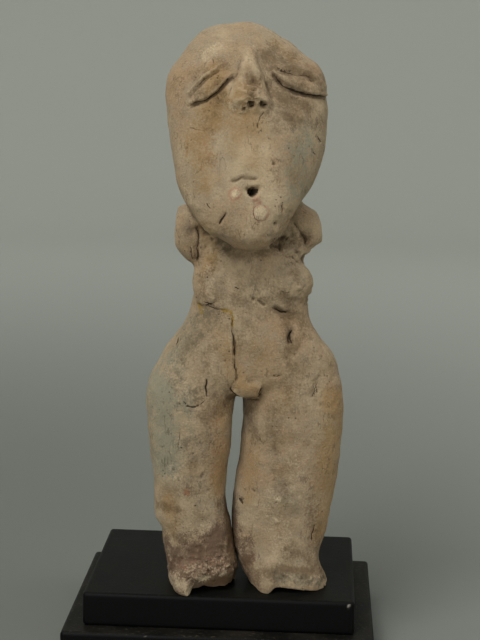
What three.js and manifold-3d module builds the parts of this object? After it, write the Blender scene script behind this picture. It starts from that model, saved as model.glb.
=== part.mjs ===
// An ancient hand-built clay figurine, standing on its black two-tier wooden stand.
// Millimetres, +Z up, the figurine facing -Y. The origin is the centre of the stand's underside.
import * as THREE from "three";
import { LoftGeometry } from "three/addons/geometries/LoftGeometry.js";
import { mergeVertices } from "three/addons/utils/BufferGeometryUtils.js";
import Module from "manifold-3d";

const wasm = await Module();
wasm.setup();
const degrees = THREE.MathUtils.degToRad;

// Stand: an upper block glued on a wider board, with the same ledge on all four sides.
const LEDGE = 4.5;
const UPPER_BLOCK = { wide: 62, deep: 48, tall: 7.8 };
const LOWER_BOARD = { wide: UPPER_BLOCK.wide + 2 * LEDGE, deep: UPPER_BLOCK.deep + 2 * LEDGE, tall: 9 };
const EASED_EDGE = 0.8;
const EASED_EDGE_STEPS = 3;

// Where the figurine stands on the upper block, and how far it is turned to its left.
const FIGURE_X = 5;
const FIGURE_Y = -10.6;
const FIGURE_TURN = degrees(10);
const REST_GAP = 0.1;

// The figurine's own frame: z = 0 at the soles, y = 0 down the middle of the body, "left" is -X.
// A station is one level of a limb: its centre, half width, and depth before and behind the centre.
// "square" is the power of the level's superellipse: 2 is an ellipse, and more is squarer.
const LEFT_LEG = [
  { z: 0, x: -9.6, y: -1.2, wide: 7.6, front: 9.8, back: 8.2 },
  { z: 4, x: -9.8, y: -1.0, wide: 7.9, front: 9.2, back: 8.6 },
  { z: 9, x: -10.4, y: -0.4, wide: 7.7, front: 8.4, back: 8.4 },
  { z: 14, x: -11.7, y: 0, wide: 8.3, front: 8.4, back: 9.0 },
  { z: 18, x: -12.4, y: 0.2, wide: 8.5, front: 8.7, back: 9.4 },
  { z: 24, x: -12.9, y: 0.2, wide: 8.0, front: 9.0, back: 9.2 },
  { z: 32, x: -12.9, y: 0.3, wide: 9.3, front: 9.8, back: 10.4 },
  { z: 40, x: -13.0, y: 0.5, wide: 9.8, front: 10.4, back: 11.6 },
  { z: 47, x: -12.6, y: 0.8, wide: 10.1, front: 10.4, back: 12.2 },
  { z: 54, x: -11.0, y: 1.0, wide: 8.8, front: 9.4, back: 10.8 },
  { z: 61, x: -8.6, y: 1.0, wide: 6.6, front: 7.0, back: 8.0 },
  { z: 66, x: -7.0, y: 1.0, wide: 3.0, front: 4.0, back: 4.0 },
];
const RIGHT_LEG = [
  { z: 0, x: 10.6, y: -1.0, wide: 8.7, front: 9.8, back: 8.4 },
  { z: 3.5, x: 9.4, y: -0.8, wide: 9.5, front: 9.2, back: 8.8 },
  { z: 8, x: 8.2, y: -0.2, wide: 9.8, front: 8.4, back: 8.6 },
  { z: 13, x: 8.3, y: 0, wide: 10.4, front: 8.4, back: 9.0 },
  { z: 20, x: 9.0, y: 0.2, wide: 11.2, front: 9.2, back: 9.6 },
  { z: 28, x: 10.1, y: 0.2, wide: 11.5, front: 10.0, back: 10.2 },
  { z: 38, x: 10.8, y: 0.5, wide: 11.4, front: 10.6, back: 11.6 },
  { z: 47, x: 10.8, y: 0.8, wide: 11.1, front: 10.4, back: 12.2 },
  { z: 54, x: 10.4, y: 1.0, wide: 9.4, front: 9.4, back: 10.8 },
  { z: 61, x: 8.6, y: 1.0, wide: 6.8, front: 7.0, back: 8.0 },
  { z: 66, x: 7.0, y: 1.0, wide: 3.0, front: 4.0, back: 4.0 },
];
// The torso is squarest at the hips, whose flat front runs on into the thighs.
const TORSO = [
  { z: 45.4, x: -0.6, y: 1.0, wide: 15.0, front: 7.6, back: 5.0, square: 3.6 },
  { z: 48, x: -0.5, y: 1.0, wide: 19.0, front: 9.8, back: 7.0, square: 3.8 },
  { z: 52, x: 0, y: 1.0, wide: 19.4, front: 10.4, back: 9.2, square: 3.8 },
  { z: 57, x: 0, y: 1.0, wide: 17.1, front: 10.5, back: 9.8, square: 3.4 },
  { z: 62, x: 0, y: 0.7, wide: 14.7, front: 9.7, back: 9.2, square: 2.9 },
  { z: 67, x: 0.3, y: 0.6, wide: 13.1, front: 8.9, back: 8.6, square: 2.6 },
  { z: 72, x: 0.3, y: 0.6, wide: 12.7, front: 8.4, back: 8.6, square: 2.5 },
  { z: 77, x: -0.3, y: 0.9, wide: 12.4, front: 7.6, back: 8.4, square: 2.5 },
  { z: 83, x: -0.8, y: 1.0, wide: 11.8, front: 6.6, back: 8.2, square: 2.4 },
  { z: 90, x: -1.2, y: 0.6, wide: 10.0, front: 6.0, back: 7.4, square: 2.2 },
  { z: 97, x: -1.2, y: 0.4, wide: 8.6, front: 5.0, back: 6.2, square: 2.0 },
  { z: 104, x: -1.2, y: 0.4, wide: 6.0, front: 4.0, back: 4.0, square: 2.0 },
];
const LEG_SQUARE = 2.5;

// Head: half ellipses above and below its widest level, leaning back from the chin to the crown.
const HEAD = { x: -1.2, y: -1.2, z: 110, wide: 17.9, up: 18, down: 31.5, front: 11.5, back: 12 };
const HEAD_SQUARE = 2.5;
const HEAD_LEAN = 0.25;
const CROWN_SHIFT = -2.0; // the crown sits off centre, to the left

// Nose: a pinched ridge down the upper face; "out" is how far it stands off the face.
const NOSE = [
  { z: 104.8, wide: 2.4, out: 0.4 },
  { z: 106.2, wide: 4.0, out: 3.2 },
  { z: 108.4, wide: 4.2, out: 4.6 },
  { z: 112, wide: 3.1, out: 3.8 },
  { z: 117, wide: 2.3, out: 2.0 },
  { z: 122, wide: 1.2, out: 0.2 },
];
const NOSE_ROOT = 3; // how deep the ridge is set in the face
const NOSE_SQUARE = 1.8;
const NOSTRIL = { apart: 2.9, z: 106.9, radius: 0.8, deep: 2.6 };

// Eyes: almond pellets pressed on the face, each with a slit along its upper half.
const EYE = { long: 6.4, tall: 2.3, thick: 2.0, slitTall: 0.5, slitDeep: 1, slitRise: 0.6 };
const EYES = [
  { x: -11.0, z: 114.6, tilt: degrees(-34), turn: degrees(-24) },
  { x: 8.9, z: 115.6, tilt: degrees(21), turn: degrees(24) },
];
const MOUTH = { x: -1.8, z: 92.5, radius: 1.2, deep: 3.2 };

// What is left of the arms, raised beside the neck and broken off short.
const LEFT_STUMP = [
  { z: 73.5, x: -11.6, y: 0.4, wide: 1.0, front: 2.0, back: 2.0 },
  { z: 76, x: -12.2, y: 0.4, wide: 2.3, front: 4.4, back: 4.0 },
  { z: 80, x: -13.4, y: 0.6, wide: 3.2, front: 5.6, back: 5.0 },
  { z: 84, x: -13.8, y: 0.8, wide: 3.5, front: 5.6, back: 5.2 },
  { z: 87, x: -13.9, y: 1.0, wide: 2.8, front: 4.4, back: 4.2 },
  { z: 88.6, x: -14.0, y: 1.0, wide: 1.0, front: 1.6, back: 1.6 },
];
const RIGHT_STUMP = [
  { z: 75, x: 10.4, y: 0.4, wide: 1.0, front: 2.0, back: 2.0 },
  { z: 77.5, x: 10.8, y: 0.4, wide: 2.6, front: 4.4, back: 4.0 },
  { z: 80.5, x: 11.6, y: 0.6, wide: 4.1, front: 5.6, back: 5.2 },
  { z: 83.5, x: 11.8, y: 0.8, wide: 4.5, front: 5.8, back: 5.4 },
  { z: 86.5, x: 11.4, y: 1.0, wide: 3.8, front: 4.8, back: 4.6 },
  { z: 89, x: 10.6, y: 1.0, wide: 1.2, front: 1.8, back: 1.8 },
];
const STUMP_SQUARE = 2.4;

// Breasts, low mounds; "lean" tips a lump's top to +X.
const BREASTS = [
  { at: [-7.6, -3.4, 70.6], size: [5.6, 4.8, 8.4], lean: degrees(-4) },
  { at: [8.8, -3.2, 71.4], size: [6.0, 5.4, 6.4], lean: 0 },
];

// The flap at the groin, pressed on.
const FLAP = [
  { z: 46.6, x: -1.3, y: -8.6, wide: 3.0, front: 1.2, back: 3.0 },
  { z: 50, x: -1.3, y: -8.6, wide: 3.4, front: 1.4, back: 3.0 },
  { z: 54.5, x: -1.3, y: -8.2, wide: 3.0, front: 1.2, back: 3.0 },
];
const FLAP_SQUARE = 3.2;

// Breaks under the toes, each a hollow scooped from the front of a foot.
const FOOT_BREAKS = [
  { at: [-7.4, -11.5, -0.6], size: [6.0, 7.5, 3.4], lean: 0 },
  { at: [7.6, -12.5, -0.4], size: [4.8, 6.0, 2.4], lean: 0 },
];

const LIMB_SIDES = 28;
const SHORT_SIDES = 20;
const LIMB_STEP = 3; // height between rows of facets
const SHORT_STEP = 1.7;
const HEAD_SIDES = 36;
const HEAD_ROWS = 22;
const NOSE_SIDES = 16;
const NOSE_ROWS = 10;
const PELLET_DETAIL = 3;
const CUT_SIDES = 12;

// A value that runs smoothly through the stations' values: a cubic with slopes from the neighbours.
function smoothThrough(stations, field, z) {
  const last = stations.length - 1;
  const slope = (i) => {
    const a = stations[Math.max(i - 1, 0)];
    const b = stations[Math.min(i + 1, last)];
    return (b[field] - a[field]) / (b.z - a.z);
  };
  const i = Math.min(stations.findLastIndex((station) => station.z <= z), last - 1);
  const span = stations[i + 1].z - stations[i].z;
  const t = (z - stations[i].z) / span;
  const rise = stations[i + 1][field] - stations[i][field];
  const [start, end] = [slope(i) * span, slope(i + 1) * span];
  return stations[i][field] + t * (start + t * (3 * rise - 2 * start - end + t * (start + end - 2 * rise)));
}

// One level of a limb: a closed superellipse with its own depth before and behind the centre.
function ring({ x, y, z, wide, front, back, square }, sides) {
  const swell = (value) => Math.sign(value) * Math.abs(value) ** (2 / square);
  return Array.from({ length: sides }, (_, i) => {
    const angle = (i / sides) * 2 * Math.PI;
    const depth = Math.sin(angle) < 0 ? front : back;
    return new THREE.Vector3(x + wide * swell(Math.cos(angle)), y + depth * swell(Math.sin(angle)), z);
  });
}

function loft(rings) {
  return new LoftGeometry(rings, { capStart: true, capEnd: true });
}

function squared(stations, square) {
  return stations.map((station) => ({ ...station, square }));
}

function limb(stations, sides = LIMB_SIDES, step = LIMB_STEP) {
  const [bottom, top] = [stations[0].z, stations.at(-1).z];
  const rows = Math.round((top - bottom) / step);
  const rings = [];
  for (let i = 0; i <= rows; i++) {
    const level = { z: bottom + ((top - bottom) * i) / rows };
    for (const field of ["x", "y", "wide", "front", "back", "square"]) {
      level[field] = smoothThrough(stations, field, level.z);
    }
    rings.push(ring(level, sides));
  }
  return loft(rings);
}

// The head's level at a latitude from -90 at the chin to +90 degrees at the crown.
function headLevel(latitude) {
  const rise = Math.sin(latitude) * (latitude < 0 ? HEAD.down : HEAD.up);
  const narrow = Math.cos(latitude);
  const crown = Math.max(0, Math.sin(latitude)) ** 3;
  return {
    x: HEAD.x + CROWN_SHIFT * crown,
    y: HEAD.y + HEAD_LEAN * rise,
    z: HEAD.z + rise,
    wide: HEAD.wide * narrow,
    front: HEAD.front * narrow,
    back: HEAD.back * narrow,
    square: HEAD_SQUARE,
  };
}

function head() {
  const pole = degrees(88);
  const rings = [];
  for (let i = 0; i <= HEAD_ROWS; i++) {
    const latitude = -pole + (2 * pole * i) / HEAD_ROWS;
    rings.push(ring(headLevel(latitude), HEAD_SIDES));
  }
  return loft(rings);
}

// The front of the face at a place on it, from the same curves as the head.
function faceY(x, z) {
  const rise = z - HEAD.z;
  const level = headLevel(Math.asin(rise / (rise < 0 ? HEAD.down : HEAD.up)));
  const across = Math.min(1, Math.abs(x - level.x) / level.wide);
  return level.y - level.front * (1 - across ** HEAD_SQUARE) ** (1 / HEAD_SQUARE);
}

function nose() {
  const [bottom, top] = [NOSE[0].z, NOSE.at(-1).z];
  const rings = [];
  for (let i = 0; i <= NOSE_ROWS; i++) {
    const z = bottom + ((top - bottom) * i) / NOSE_ROWS;
    const [wide, out] = [smoothThrough(NOSE, "wide", z), smoothThrough(NOSE, "out", z)];
    const y = faceY(HEAD.x, z) + NOSE_ROOT;
    const level = { x: HEAD.x, y, z, wide, front: out + NOSE_ROOT, back: 1, square: NOSE_SQUARE };
    rings.push(ring(level, NOSE_SIDES));
  }
  return loft(rings);
}

// A lump of clay: an ellipsoid, tipped about Y and moved to its place.
function lump({ at, size, lean }) {
  return new THREE.IcosahedronGeometry(1, PELLET_DETAIL).scale(...size).rotateY(lean).translate(...at);
}

// A lump laid on the face: raised or sunk from it, tilted in its plane and turned to follow the cheek.
function onFace({ x, z, tilt, turn }, [out, rise], size) {
  const flat = lump({ at: [0, -out, rise], size, lean: 0 });
  return flat.rotateY(tilt).rotateZ(turn).translate(x, faceY(x, z), z);
}

// A straight round hole poked into the face along +Y, starting in the air before it.
function poke(x, z, radius, deep) {
  const reach = 8;
  const length = reach + deep;
  return new THREE.CylinderGeometry(radius, radius * 0.7, length, CUT_SIDES)
    .rotateX(Math.PI)
    .translate(x, faceY(x, z) - reach + length / 2, z);
}

// Boolean work on closed meshes whose shared vertices are merged.
function toSolid(geometry) {
  const bare = new THREE.BufferGeometry().setAttribute("position", geometry.getAttribute("position"));
  if (geometry.index) bare.setIndex(geometry.index);
  const merged = mergeVertices(bare, 1e-4);
  const vertProperties = merged.getAttribute("position").array;
  const triVerts = new Uint32Array(merged.index.array);
  return new wasm.Manifold(new wasm.Mesh({ numProp: 3, vertProperties, triVerts }));
}

function toGeometry(solid) {
  const { vertProperties, triVerts } = solid.getMesh();
  return new THREE.BufferGeometry()
    .setAttribute("position", new THREE.BufferAttribute(vertProperties, 3))
    .setIndex(new THREE.BufferAttribute(triVerts, 1));
}

function figurineGeometry() {
  const added = [
    limb(squared(LEFT_LEG, LEG_SQUARE)),
    limb(squared(RIGHT_LEG, LEG_SQUARE)),
    limb(TORSO),
    head(),
    nose(),
    limb(squared(FLAP, FLAP_SQUARE), SHORT_SIDES, SHORT_STEP),
    limb(squared(LEFT_STUMP, STUMP_SQUARE), SHORT_SIDES, SHORT_STEP),
    limb(squared(RIGHT_STUMP, STUMP_SQUARE), SHORT_SIDES, SHORT_STEP),
    ...BREASTS.map(lump),
    ...EYES.map((eye) => onFace(eye, [0, 0], [EYE.long, EYE.thick, EYE.tall])),
  ];
  const cut = [
    ...EYES.map((eye) => onFace(eye, [EYE.thick, EYE.slitRise], [EYE.long, EYE.slitDeep, EYE.slitTall])),
    ...[-1, 1].map((side) => {
      const x = HEAD.x + (side * NOSTRIL.apart) / 2;
      return poke(x, NOSTRIL.z, NOSTRIL.radius, NOSTRIL.deep - NOSE_ROOT);
    }),
    poke(MOUTH.x, MOUTH.z, MOUTH.radius, MOUTH.deep),
    ...FOOT_BREAKS.map(lump),
  ];
  const clay = added.map(toSolid).reduce((whole, piece) => whole.add(piece));
  return toGeometry(cut.map(toSolid).reduce((whole, piece) => whole.subtract(piece), clay));
}

// A board with its upright corners rounded and its top and bottom edges eased.
function boardGeometry({ wide, deep, tall }) {
  const [x, y] = [wide / 2 - EASED_EDGE, deep / 2 - EASED_EDGE];
  const outline = new THREE.Shape();
  outline.moveTo(x, -y + EASED_EDGE).lineTo(x, y - EASED_EDGE);
  outline.absarc(x - EASED_EDGE, y - EASED_EDGE, EASED_EDGE, 0, Math.PI / 2);
  outline.absarc(-x + EASED_EDGE, y - EASED_EDGE, EASED_EDGE, Math.PI / 2, Math.PI);
  outline.absarc(-x + EASED_EDGE, -y + EASED_EDGE, EASED_EDGE, Math.PI, 1.5 * Math.PI);
  outline.absarc(x - EASED_EDGE, -y + EASED_EDGE, EASED_EDGE, 1.5 * Math.PI, 2 * Math.PI);
  return new THREE.ExtrudeGeometry(outline, {
    depth: tall - 2 * EASED_EDGE,
    curveSegments: EASED_EDGE_STEPS,
    bevelThickness: EASED_EDGE,
    bevelSize: EASED_EDGE,
    bevelSegments: EASED_EDGE_STEPS,
  }).translate(0, 0, EASED_EDGE);
}

const BARE_CLAY = new THREE.MeshStandardMaterial({ color: 0x9a8263, roughness: 0.92, metalness: 0 });
const BLACK_LACQUER = new THREE.MeshStandardMaterial({ color: 0x141514, roughness: 0.45, metalness: 0 });

function named(name, geometry, material) {
  const mesh = new THREE.Mesh(geometry, material);
  mesh.name = name;
  return mesh;
}

const lowerBoard = named("stand_lower_board", boardGeometry(LOWER_BOARD), BLACK_LACQUER);
const upperBlock = named("stand_upper_block", boardGeometry(UPPER_BLOCK), BLACK_LACQUER);
upperBlock.position.z = LOWER_BOARD.tall;

const figurine = named("figurine", figurineGeometry(), BARE_CLAY);
figurine.position.set(FIGURE_X, FIGURE_Y, LOWER_BOARD.tall + UPPER_BLOCK.tall + REST_GAP);
figurine.rotation.z = FIGURE_TURN;

const part = new THREE.Group();
part.add(lowerBoard, upperBlock, figurine);

export default part;
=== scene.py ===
"""A hand-built clay figurine on its black two-tier stand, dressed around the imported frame.

Lengths are millimetres while a piece is being shaped. A finished mesh is in metres, in the frame, with its
object at the origin. The figurine is shaped in its own axes: z = 0 at the soles, y = 0 down the middle of
the body, and it faces -Y. Marks that the photograph shows are placed by its pixels, in a frame of 480 by
640.
"""

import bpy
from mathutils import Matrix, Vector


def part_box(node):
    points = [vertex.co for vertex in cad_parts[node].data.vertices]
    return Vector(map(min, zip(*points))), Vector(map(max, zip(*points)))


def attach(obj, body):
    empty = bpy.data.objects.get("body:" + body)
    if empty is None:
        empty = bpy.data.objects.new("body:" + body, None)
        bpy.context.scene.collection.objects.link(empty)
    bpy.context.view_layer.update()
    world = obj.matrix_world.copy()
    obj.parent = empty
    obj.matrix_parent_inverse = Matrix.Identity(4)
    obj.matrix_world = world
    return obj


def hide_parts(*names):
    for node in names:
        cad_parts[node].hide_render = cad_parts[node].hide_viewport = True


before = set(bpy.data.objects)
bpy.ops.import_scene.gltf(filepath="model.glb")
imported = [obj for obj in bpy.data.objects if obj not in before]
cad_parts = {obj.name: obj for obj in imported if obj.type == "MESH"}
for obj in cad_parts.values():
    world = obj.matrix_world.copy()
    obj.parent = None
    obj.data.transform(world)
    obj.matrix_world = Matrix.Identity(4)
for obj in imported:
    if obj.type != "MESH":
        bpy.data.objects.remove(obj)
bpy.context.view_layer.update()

import itertools
import logging
import math
from dataclasses import dataclass, replace
from enum import Enum

import bmesh
import bpy
import numpy as np
from mathutils import Matrix, Vector

LOG = logging.getLogger("clay_figurine")
MM = 0.001

Pixel = tuple[float, float]
Path = tuple[Pixel, ...]
Span = tuple[float, float]
Point = tuple[float, float, float]
Shell = tuple[np.ndarray, list[list[int]]]
Socket = bpy.types.NodeSocket
SocketValue = Socket | float | tuple[float, ...]

# Primes and a factor that turn a cube's corner into a number without a pattern, and how far, in cubes, each
# seed shifts them.
HASH_WAYS = np.array([73856093, 19349663, 83492791])
HASH_SEED = 2654435761
HASH_MIX = 1274126177
SEED_SHIFT = 0.37
# How many numbers a level of a limb has.
LEVEL_NUMBERS = 7
# The clay's noises: their finer layers, how much each of those counts, and the value they lie about.
NOISE_DETAIL = 3.0
NOISE_ROUGHNESS = 0.6
NOISE_MIDDLE = 0.5
# How far smoothing swells a form again, so that it keeps its bulk.
KEEPS_BULK = 0.51
# The share of a flat mark that is flat, before its steep edge.
FLAT_SHARE = 0.65
# The least bow of an eye's lids, at its corners, as a share of the full bow.
LEAST_BOW = 0.01


def linear(colour: str) -> tuple[float, float, float, float]:
    """Turns an sRGB hex colour such as "a08860" into linear red, green, blue and alpha.

    Args:
        colour: six hex digits.

    Returns:
        The linear colour, with alpha 1.
    """
    parts = [int(colour[i:i + 2], 16) / 255 for i in (0, 2, 4)]
    flat = [p / 12.92 if p <= 0.04045 else ((p + 0.055) / 1.055) ** 2.4 for p in parts]
    return (*flat, 1.0)


def smoothstep(low: float, high: float, value: np.ndarray) -> np.ndarray:
    """Eases from 0 at low to 1 at high by 3t^2 - 2t^3."""
    t = np.clip((value - low) / (high - low), 0.0, 1.0)
    return t * t * (3 - 2 * t)


def run_out(along: np.ndarray, before: float, over: float) -> np.ndarray:
    """Eases a path's two ends: 0 from before its end outwards, and 1 from over inside it."""
    return smoothstep(-before, over, along) * (1 - smoothstep(1 - over, 1 + before, along))


def lattice_noise(points: np.ndarray, size: float, seed: int) -> np.ndarray:
    """Smooth random heights: hashed values at the corners of cubes, blended by a cubic ease.

    Args:
        points: places, one per row.
        size: edge of a cube, in the units of the points.
        seed: picks another field.

    Returns:
        One value per point, between -1 and 1.
    """
    cell = points / size + SEED_SHIFT * seed
    base = np.floor(cell).astype(np.int64)
    ease = cell - base
    ease = ease * ease * (3 - 2 * ease)
    total = np.zeros(len(points))
    for corner in itertools.product((0, 1), repeat=3):
        key = (base + corner) @ HASH_WAYS + seed * HASH_SEED
        key = ((key ^ (key >> 13)) * HASH_MIX) & 0xFFFFFFFF
        value = ((key ^ (key >> 16)) & 0xFFFF) / 32767.5 - 1
        total += value * np.prod(np.where(corner, ease, 1 - ease), axis=1)
    return total


@dataclass(frozen=True)
class Waviness:
    """An unevenness: layers of lattice noise, each half the size and half the height of the last."""

    size: float
    height: float
    seed: int
    layers: int = 3

    def at(self, points: np.ndarray) -> np.ndarray:
        """The height at each point."""
        layers = [(n, 0.5 ** n) for n in range(self.layers)]
        return self.height * sum(h * lattice_noise(points, self.size * h, self.seed + n) for n, h in layers)


class Node(Enum):
    """A kind of shader node: its type, the inputs that are filled in order, its output, its settings."""

    PLACE = ("ShaderNodeTexCoord", (), "Object", {})
    KEPT = ("ShaderNodeAttribute", (), "Fac", {})
    NOISE = ("ShaderNodeTexNoise", ("Vector", "Scale", "Detail", "Roughness"), "Fac", {})
    CELLS = ("ShaderNodeTexVoronoi", ("Vector", "Scale", "Randomness"), "Distance", {"feature": "F1"})
    STRETCH = ("ShaderNodeVectorMath", (0, 1), "Vector", {"operation": "MULTIPLY"})
    DISTANCE = ("ShaderNodeVectorMath", (0, 1), "Value", {"operation": "DISTANCE"})
    TIMES = ("ShaderNodeMath", (0, 1), 0, {"operation": "MULTIPLY"})
    TIMES_PLUS = ("ShaderNodeMath", (0, 1, 2), 0, {"operation": "MULTIPLY_ADD"})
    MINUS = ("ShaderNodeMath", (0, 1), 0, {"operation": "SUBTRACT"})
    UNSIGNED = ("ShaderNodeMath", (0,), 0, {"operation": "ABSOLUTE"})
    RANGE = ("ShaderNodeMapRange", ("Value", "From Min", "From Max", "To Min", "To Max"), "Result", {})
    STEP = ("ShaderNodeMapRange", ("Value", "From Min", "From Max", "To Min", "To Max"), "Result",
            {"interpolation_type": "SMOOTHSTEP"})
    MIX = ("ShaderNodeMix", (0, 6, 7), 2, {"data_type": "RGBA"})
    TINT = ("ShaderNodeMix", (0, 6, 7), 2, {"data_type": "RGBA", "blend_type": "MULTIPLY"})
    BUMP = ("ShaderNodeBump", ("Height", "Distance", "Strength"), "Normal", {})


def per_mm(size: float) -> float:
    """The scale of a texture on Object coordinates, in metres, whose features are size mm."""
    return 1 / (size * MM)


def new_object(name: str, mesh: bpy.types.Mesh) -> bpy.types.Object:
    """Puts a mesh into the scene as an object at the origin.

    Args:
        name: the object's and the mesh's name.
        mesh: its mesh.

    Returns:
        The object.
    """
    mesh.name = name
    made = bpy.data.objects.new(name, mesh)
    bpy.context.scene.collection.objects.link(made)
    return made


def new_mesh(points: np.ndarray, faces: list[list[int]]) -> bpy.types.Mesh:
    """Makes a smooth-shaded mesh.

    Args:
        points: vertices, one per row.
        faces: vertex numbers of each face, counter-clockwise from outside.

    Returns:
        The mesh.
    """
    mesh = bpy.data.meshes.new("shell")
    mesh.from_pydata(points.tolist(), [], faces)
    mesh.update()
    shade_smooth(mesh)
    return mesh


def shade_smooth(mesh: bpy.types.Mesh) -> None:
    """Shades the mesh as one smooth surface."""
    mesh.polygons.foreach_set("use_smooth", np.ones(len(mesh.polygons), dtype=bool))


def ring_quads(rings: np.ndarray) -> tuple[np.ndarray, np.ndarray]:
    """Joins neighbouring rings by quads.

    Args:
        rings: an array of rings by points by 3, each counter-clockwise seen from the last ring's side.

    Returns:
        The points' numbers, one row per ring, and the quads, which face outwards.
    """
    number = np.arange(rings.shape[0] * rings.shape[1]).reshape(rings.shape[:2])
    beside = np.roll(number, -1, axis=1)
    quads = np.stack([number[:-1], beside[:-1], beside[1:], number[1:]], axis=-1).reshape(-1, 4)
    return number, quads


def closed_tube(rings: np.ndarray) -> Shell:
    """A closed shell from rings: quads between neighbours, and a fan to the middle of each end ring.

    Args:
        rings: as for ring_quads.

    Returns:
        The shell's points and faces.
    """
    number, quads = ring_quads(rings)
    first, last = number.size, number.size + 1
    ends = [
        np.stack([np.roll(number[0], -1), number[0], np.full_like(number[0], first)], axis=-1),
        np.stack([number[-1], np.roll(number[-1], -1), np.full_like(number[-1], last)], axis=-1),
    ]
    points = np.vstack([rings.reshape(-1, 3), rings[0].mean(0), rings[-1].mean(0)])
    return points, quads.tolist() + ends[0].tolist() + ends[1].tolist()


def join(shells: list[Shell]) -> Shell:
    """Puts shells into one list of points and one of faces.

    Args:
        shells: closed shells.

    Returns:
        One shell of all of them.
    """
    starts = np.cumsum([0] + [len(points) for points, _ in shells])
    faces = [[start + v for v in face] for start, (_, part) in zip(starts, shells) for face in part]
    return np.vstack([points for points, _ in shells]), faces


def vertex_places(mesh: bpy.types.Mesh) -> np.ndarray:
    """The mesh's vertices, one per row.

    Args:
        mesh: any mesh.

    Returns:
        An array of vertices by 3.
    """
    flat = np.empty(len(mesh.vertices) * 3)
    mesh.vertices.foreach_get("co", flat)
    return flat.reshape(-1, 3)


def vertex_normals(mesh: bpy.types.Mesh) -> np.ndarray:
    """The mesh's outward directions at its vertices, one per row.

    Args:
        mesh: any mesh.

    Returns:
        An array of vertices by 3.
    """
    flat = np.empty(len(mesh.vertices) * 3)
    mesh.vertex_normals.foreach_get("vector", flat)
    return flat.reshape(-1, 3)


def place_vertices(mesh: bpy.types.Mesh, points: np.ndarray) -> None:
    """Moves the mesh's vertices to points."""
    mesh.vertices.foreach_set("co", np.ascontiguousarray(points).ravel())
    mesh.update()


def store(mesh: bpy.types.Mesh, name: str, values: np.ndarray) -> None:
    """Keeps one number per vertex on the mesh, for its material to read."""
    attribute = mesh.attributes.new(name, "FLOAT", "POINT")
    attribute.data.foreach_set("value", values.astype(np.float32))


class Relaxer:
    """Averages values over a mesh's edges, as a thumb smooths wet clay."""

    def __init__(self, mesh: bpy.types.Mesh) -> None:
        """Reads which vertices share an edge.

        Args:
            mesh: the mesh to smooth.
        """
        pairs = np.empty(len(mesh.edges) * 2, dtype=np.int64)
        mesh.edges.foreach_get("vertices", pairs)
        self.one, self.other = pairs.reshape(-1, 2).T
        self.count = len(mesh.vertices)
        self.degree = np.maximum(np.bincount(pairs, minlength=self.count), 1)

    def mean(self, values: np.ndarray) -> np.ndarray:
        """The mean of each vertex's neighbours, for one number or several per vertex.

        Args:
            values: one row per vertex.

        Returns:
            The means, in the same shape.
        """
        columns = values.reshape(self.count, -1)
        sums = [
            np.bincount(self.one, columns[self.other, i], self.count)
            + np.bincount(self.other, columns[self.one, i], self.count)
            for i in range(columns.shape[1])
        ]
        return (np.stack(sums, axis=-1) / self.degree[:, None]).reshape(values.shape)

    def smooth(self, values: np.ndarray, rounds: int, swell: float = 0.0) -> np.ndarray:
        """Moves values half way to their neighbours' mean, then back by swell times that, in rounds.

        Args:
            values: numbers or places, one row per vertex.
            rounds: how often.
            swell: 0 lets a form shrink, and KEEPS_BULK doesn't.

        Returns:
            The smoothed values.
        """
        for _ in range(rounds):
            values = values + 0.5 * (self.mean(values) - values)
            if swell:
                values = values - swell * (self.mean(values) - values)
        return values


@dataclass(frozen=True)
class PhotoCamera:
    """The camera that took the photograph, solved from the stand's edges, in mm and degrees."""

    place: Point = (20.26, -358.19, 141.13)
    focal_px: float = 1550.8
    pitch: float = 10.2
    yaw: float = -2.837
    roll: float = 1.127
    image: tuple[int, int] = (480, 640)
    sensor: float = 36.0

    def axes(self) -> np.ndarray:
        """The camera's right, down and forward directions, one per row.

        A level camera looking along +Y is turned about its down axis by the yaw, about its right axis by
        the pitch and about its forward axis by the roll.

        Returns:
            An array of 3 by 3.
        """
        turns = [math.radians(angle) for angle in (self.pitch, self.yaw, self.roll)]
        (cp, sp), (cy, sy), (cr, sr) = [(math.cos(turn), math.sin(turn)) for turn in turns]
        level = np.array([[1, 0, 0], [0, 0, -1], [0, 1, 0]])
        yaw = np.array([[cy, 0, -sy], [0, 1, 0], [sy, 0, cy]])
        pitch = np.array([[1, 0, 0], [0, cp, -sp], [0, sp, cp]])
        roll = np.array([[cr, -sr, 0], [sr, cr, 0], [0, 0, 1]])
        return roll @ pitch @ yaw @ level

    def project(self, points: np.ndarray) -> tuple[np.ndarray, np.ndarray]:
        """Where points show in the photograph.

        Args:
            points: places in the frame, in mm.

        Returns:
            Their pixels, one pair per row, and their depths in mm.
        """
        seen = (points - np.array(self.place)) @ self.axes().T
        pixels = self.focal_px * seen[:, :2] / seen[:, 2:] + np.array(self.image) / 2
        return pixels, seen[:, 2]

    def build(self) -> bpy.types.Object:
        """Makes the scene's camera, with the photograph's long side on the sensor's long side.

        Returns:
            The camera.
        """
        lens = bpy.data.cameras.new("photo_camera")
        lens.sensor_width = self.sensor
        lens.lens = self.focal_px * self.sensor / max(self.image)
        camera = bpy.data.objects.new("photo_camera", lens)
        right, down, forward = self.axes()
        turn = Matrix(np.stack([right, -down, -forward], axis=1).tolist()).to_4x4()
        camera.matrix_world = Matrix.Translation(Vector(self.place) * MM) @ turn
        bpy.context.scene.collection.objects.link(camera)
        bpy.context.scene.camera = camera
        return camera


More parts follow.
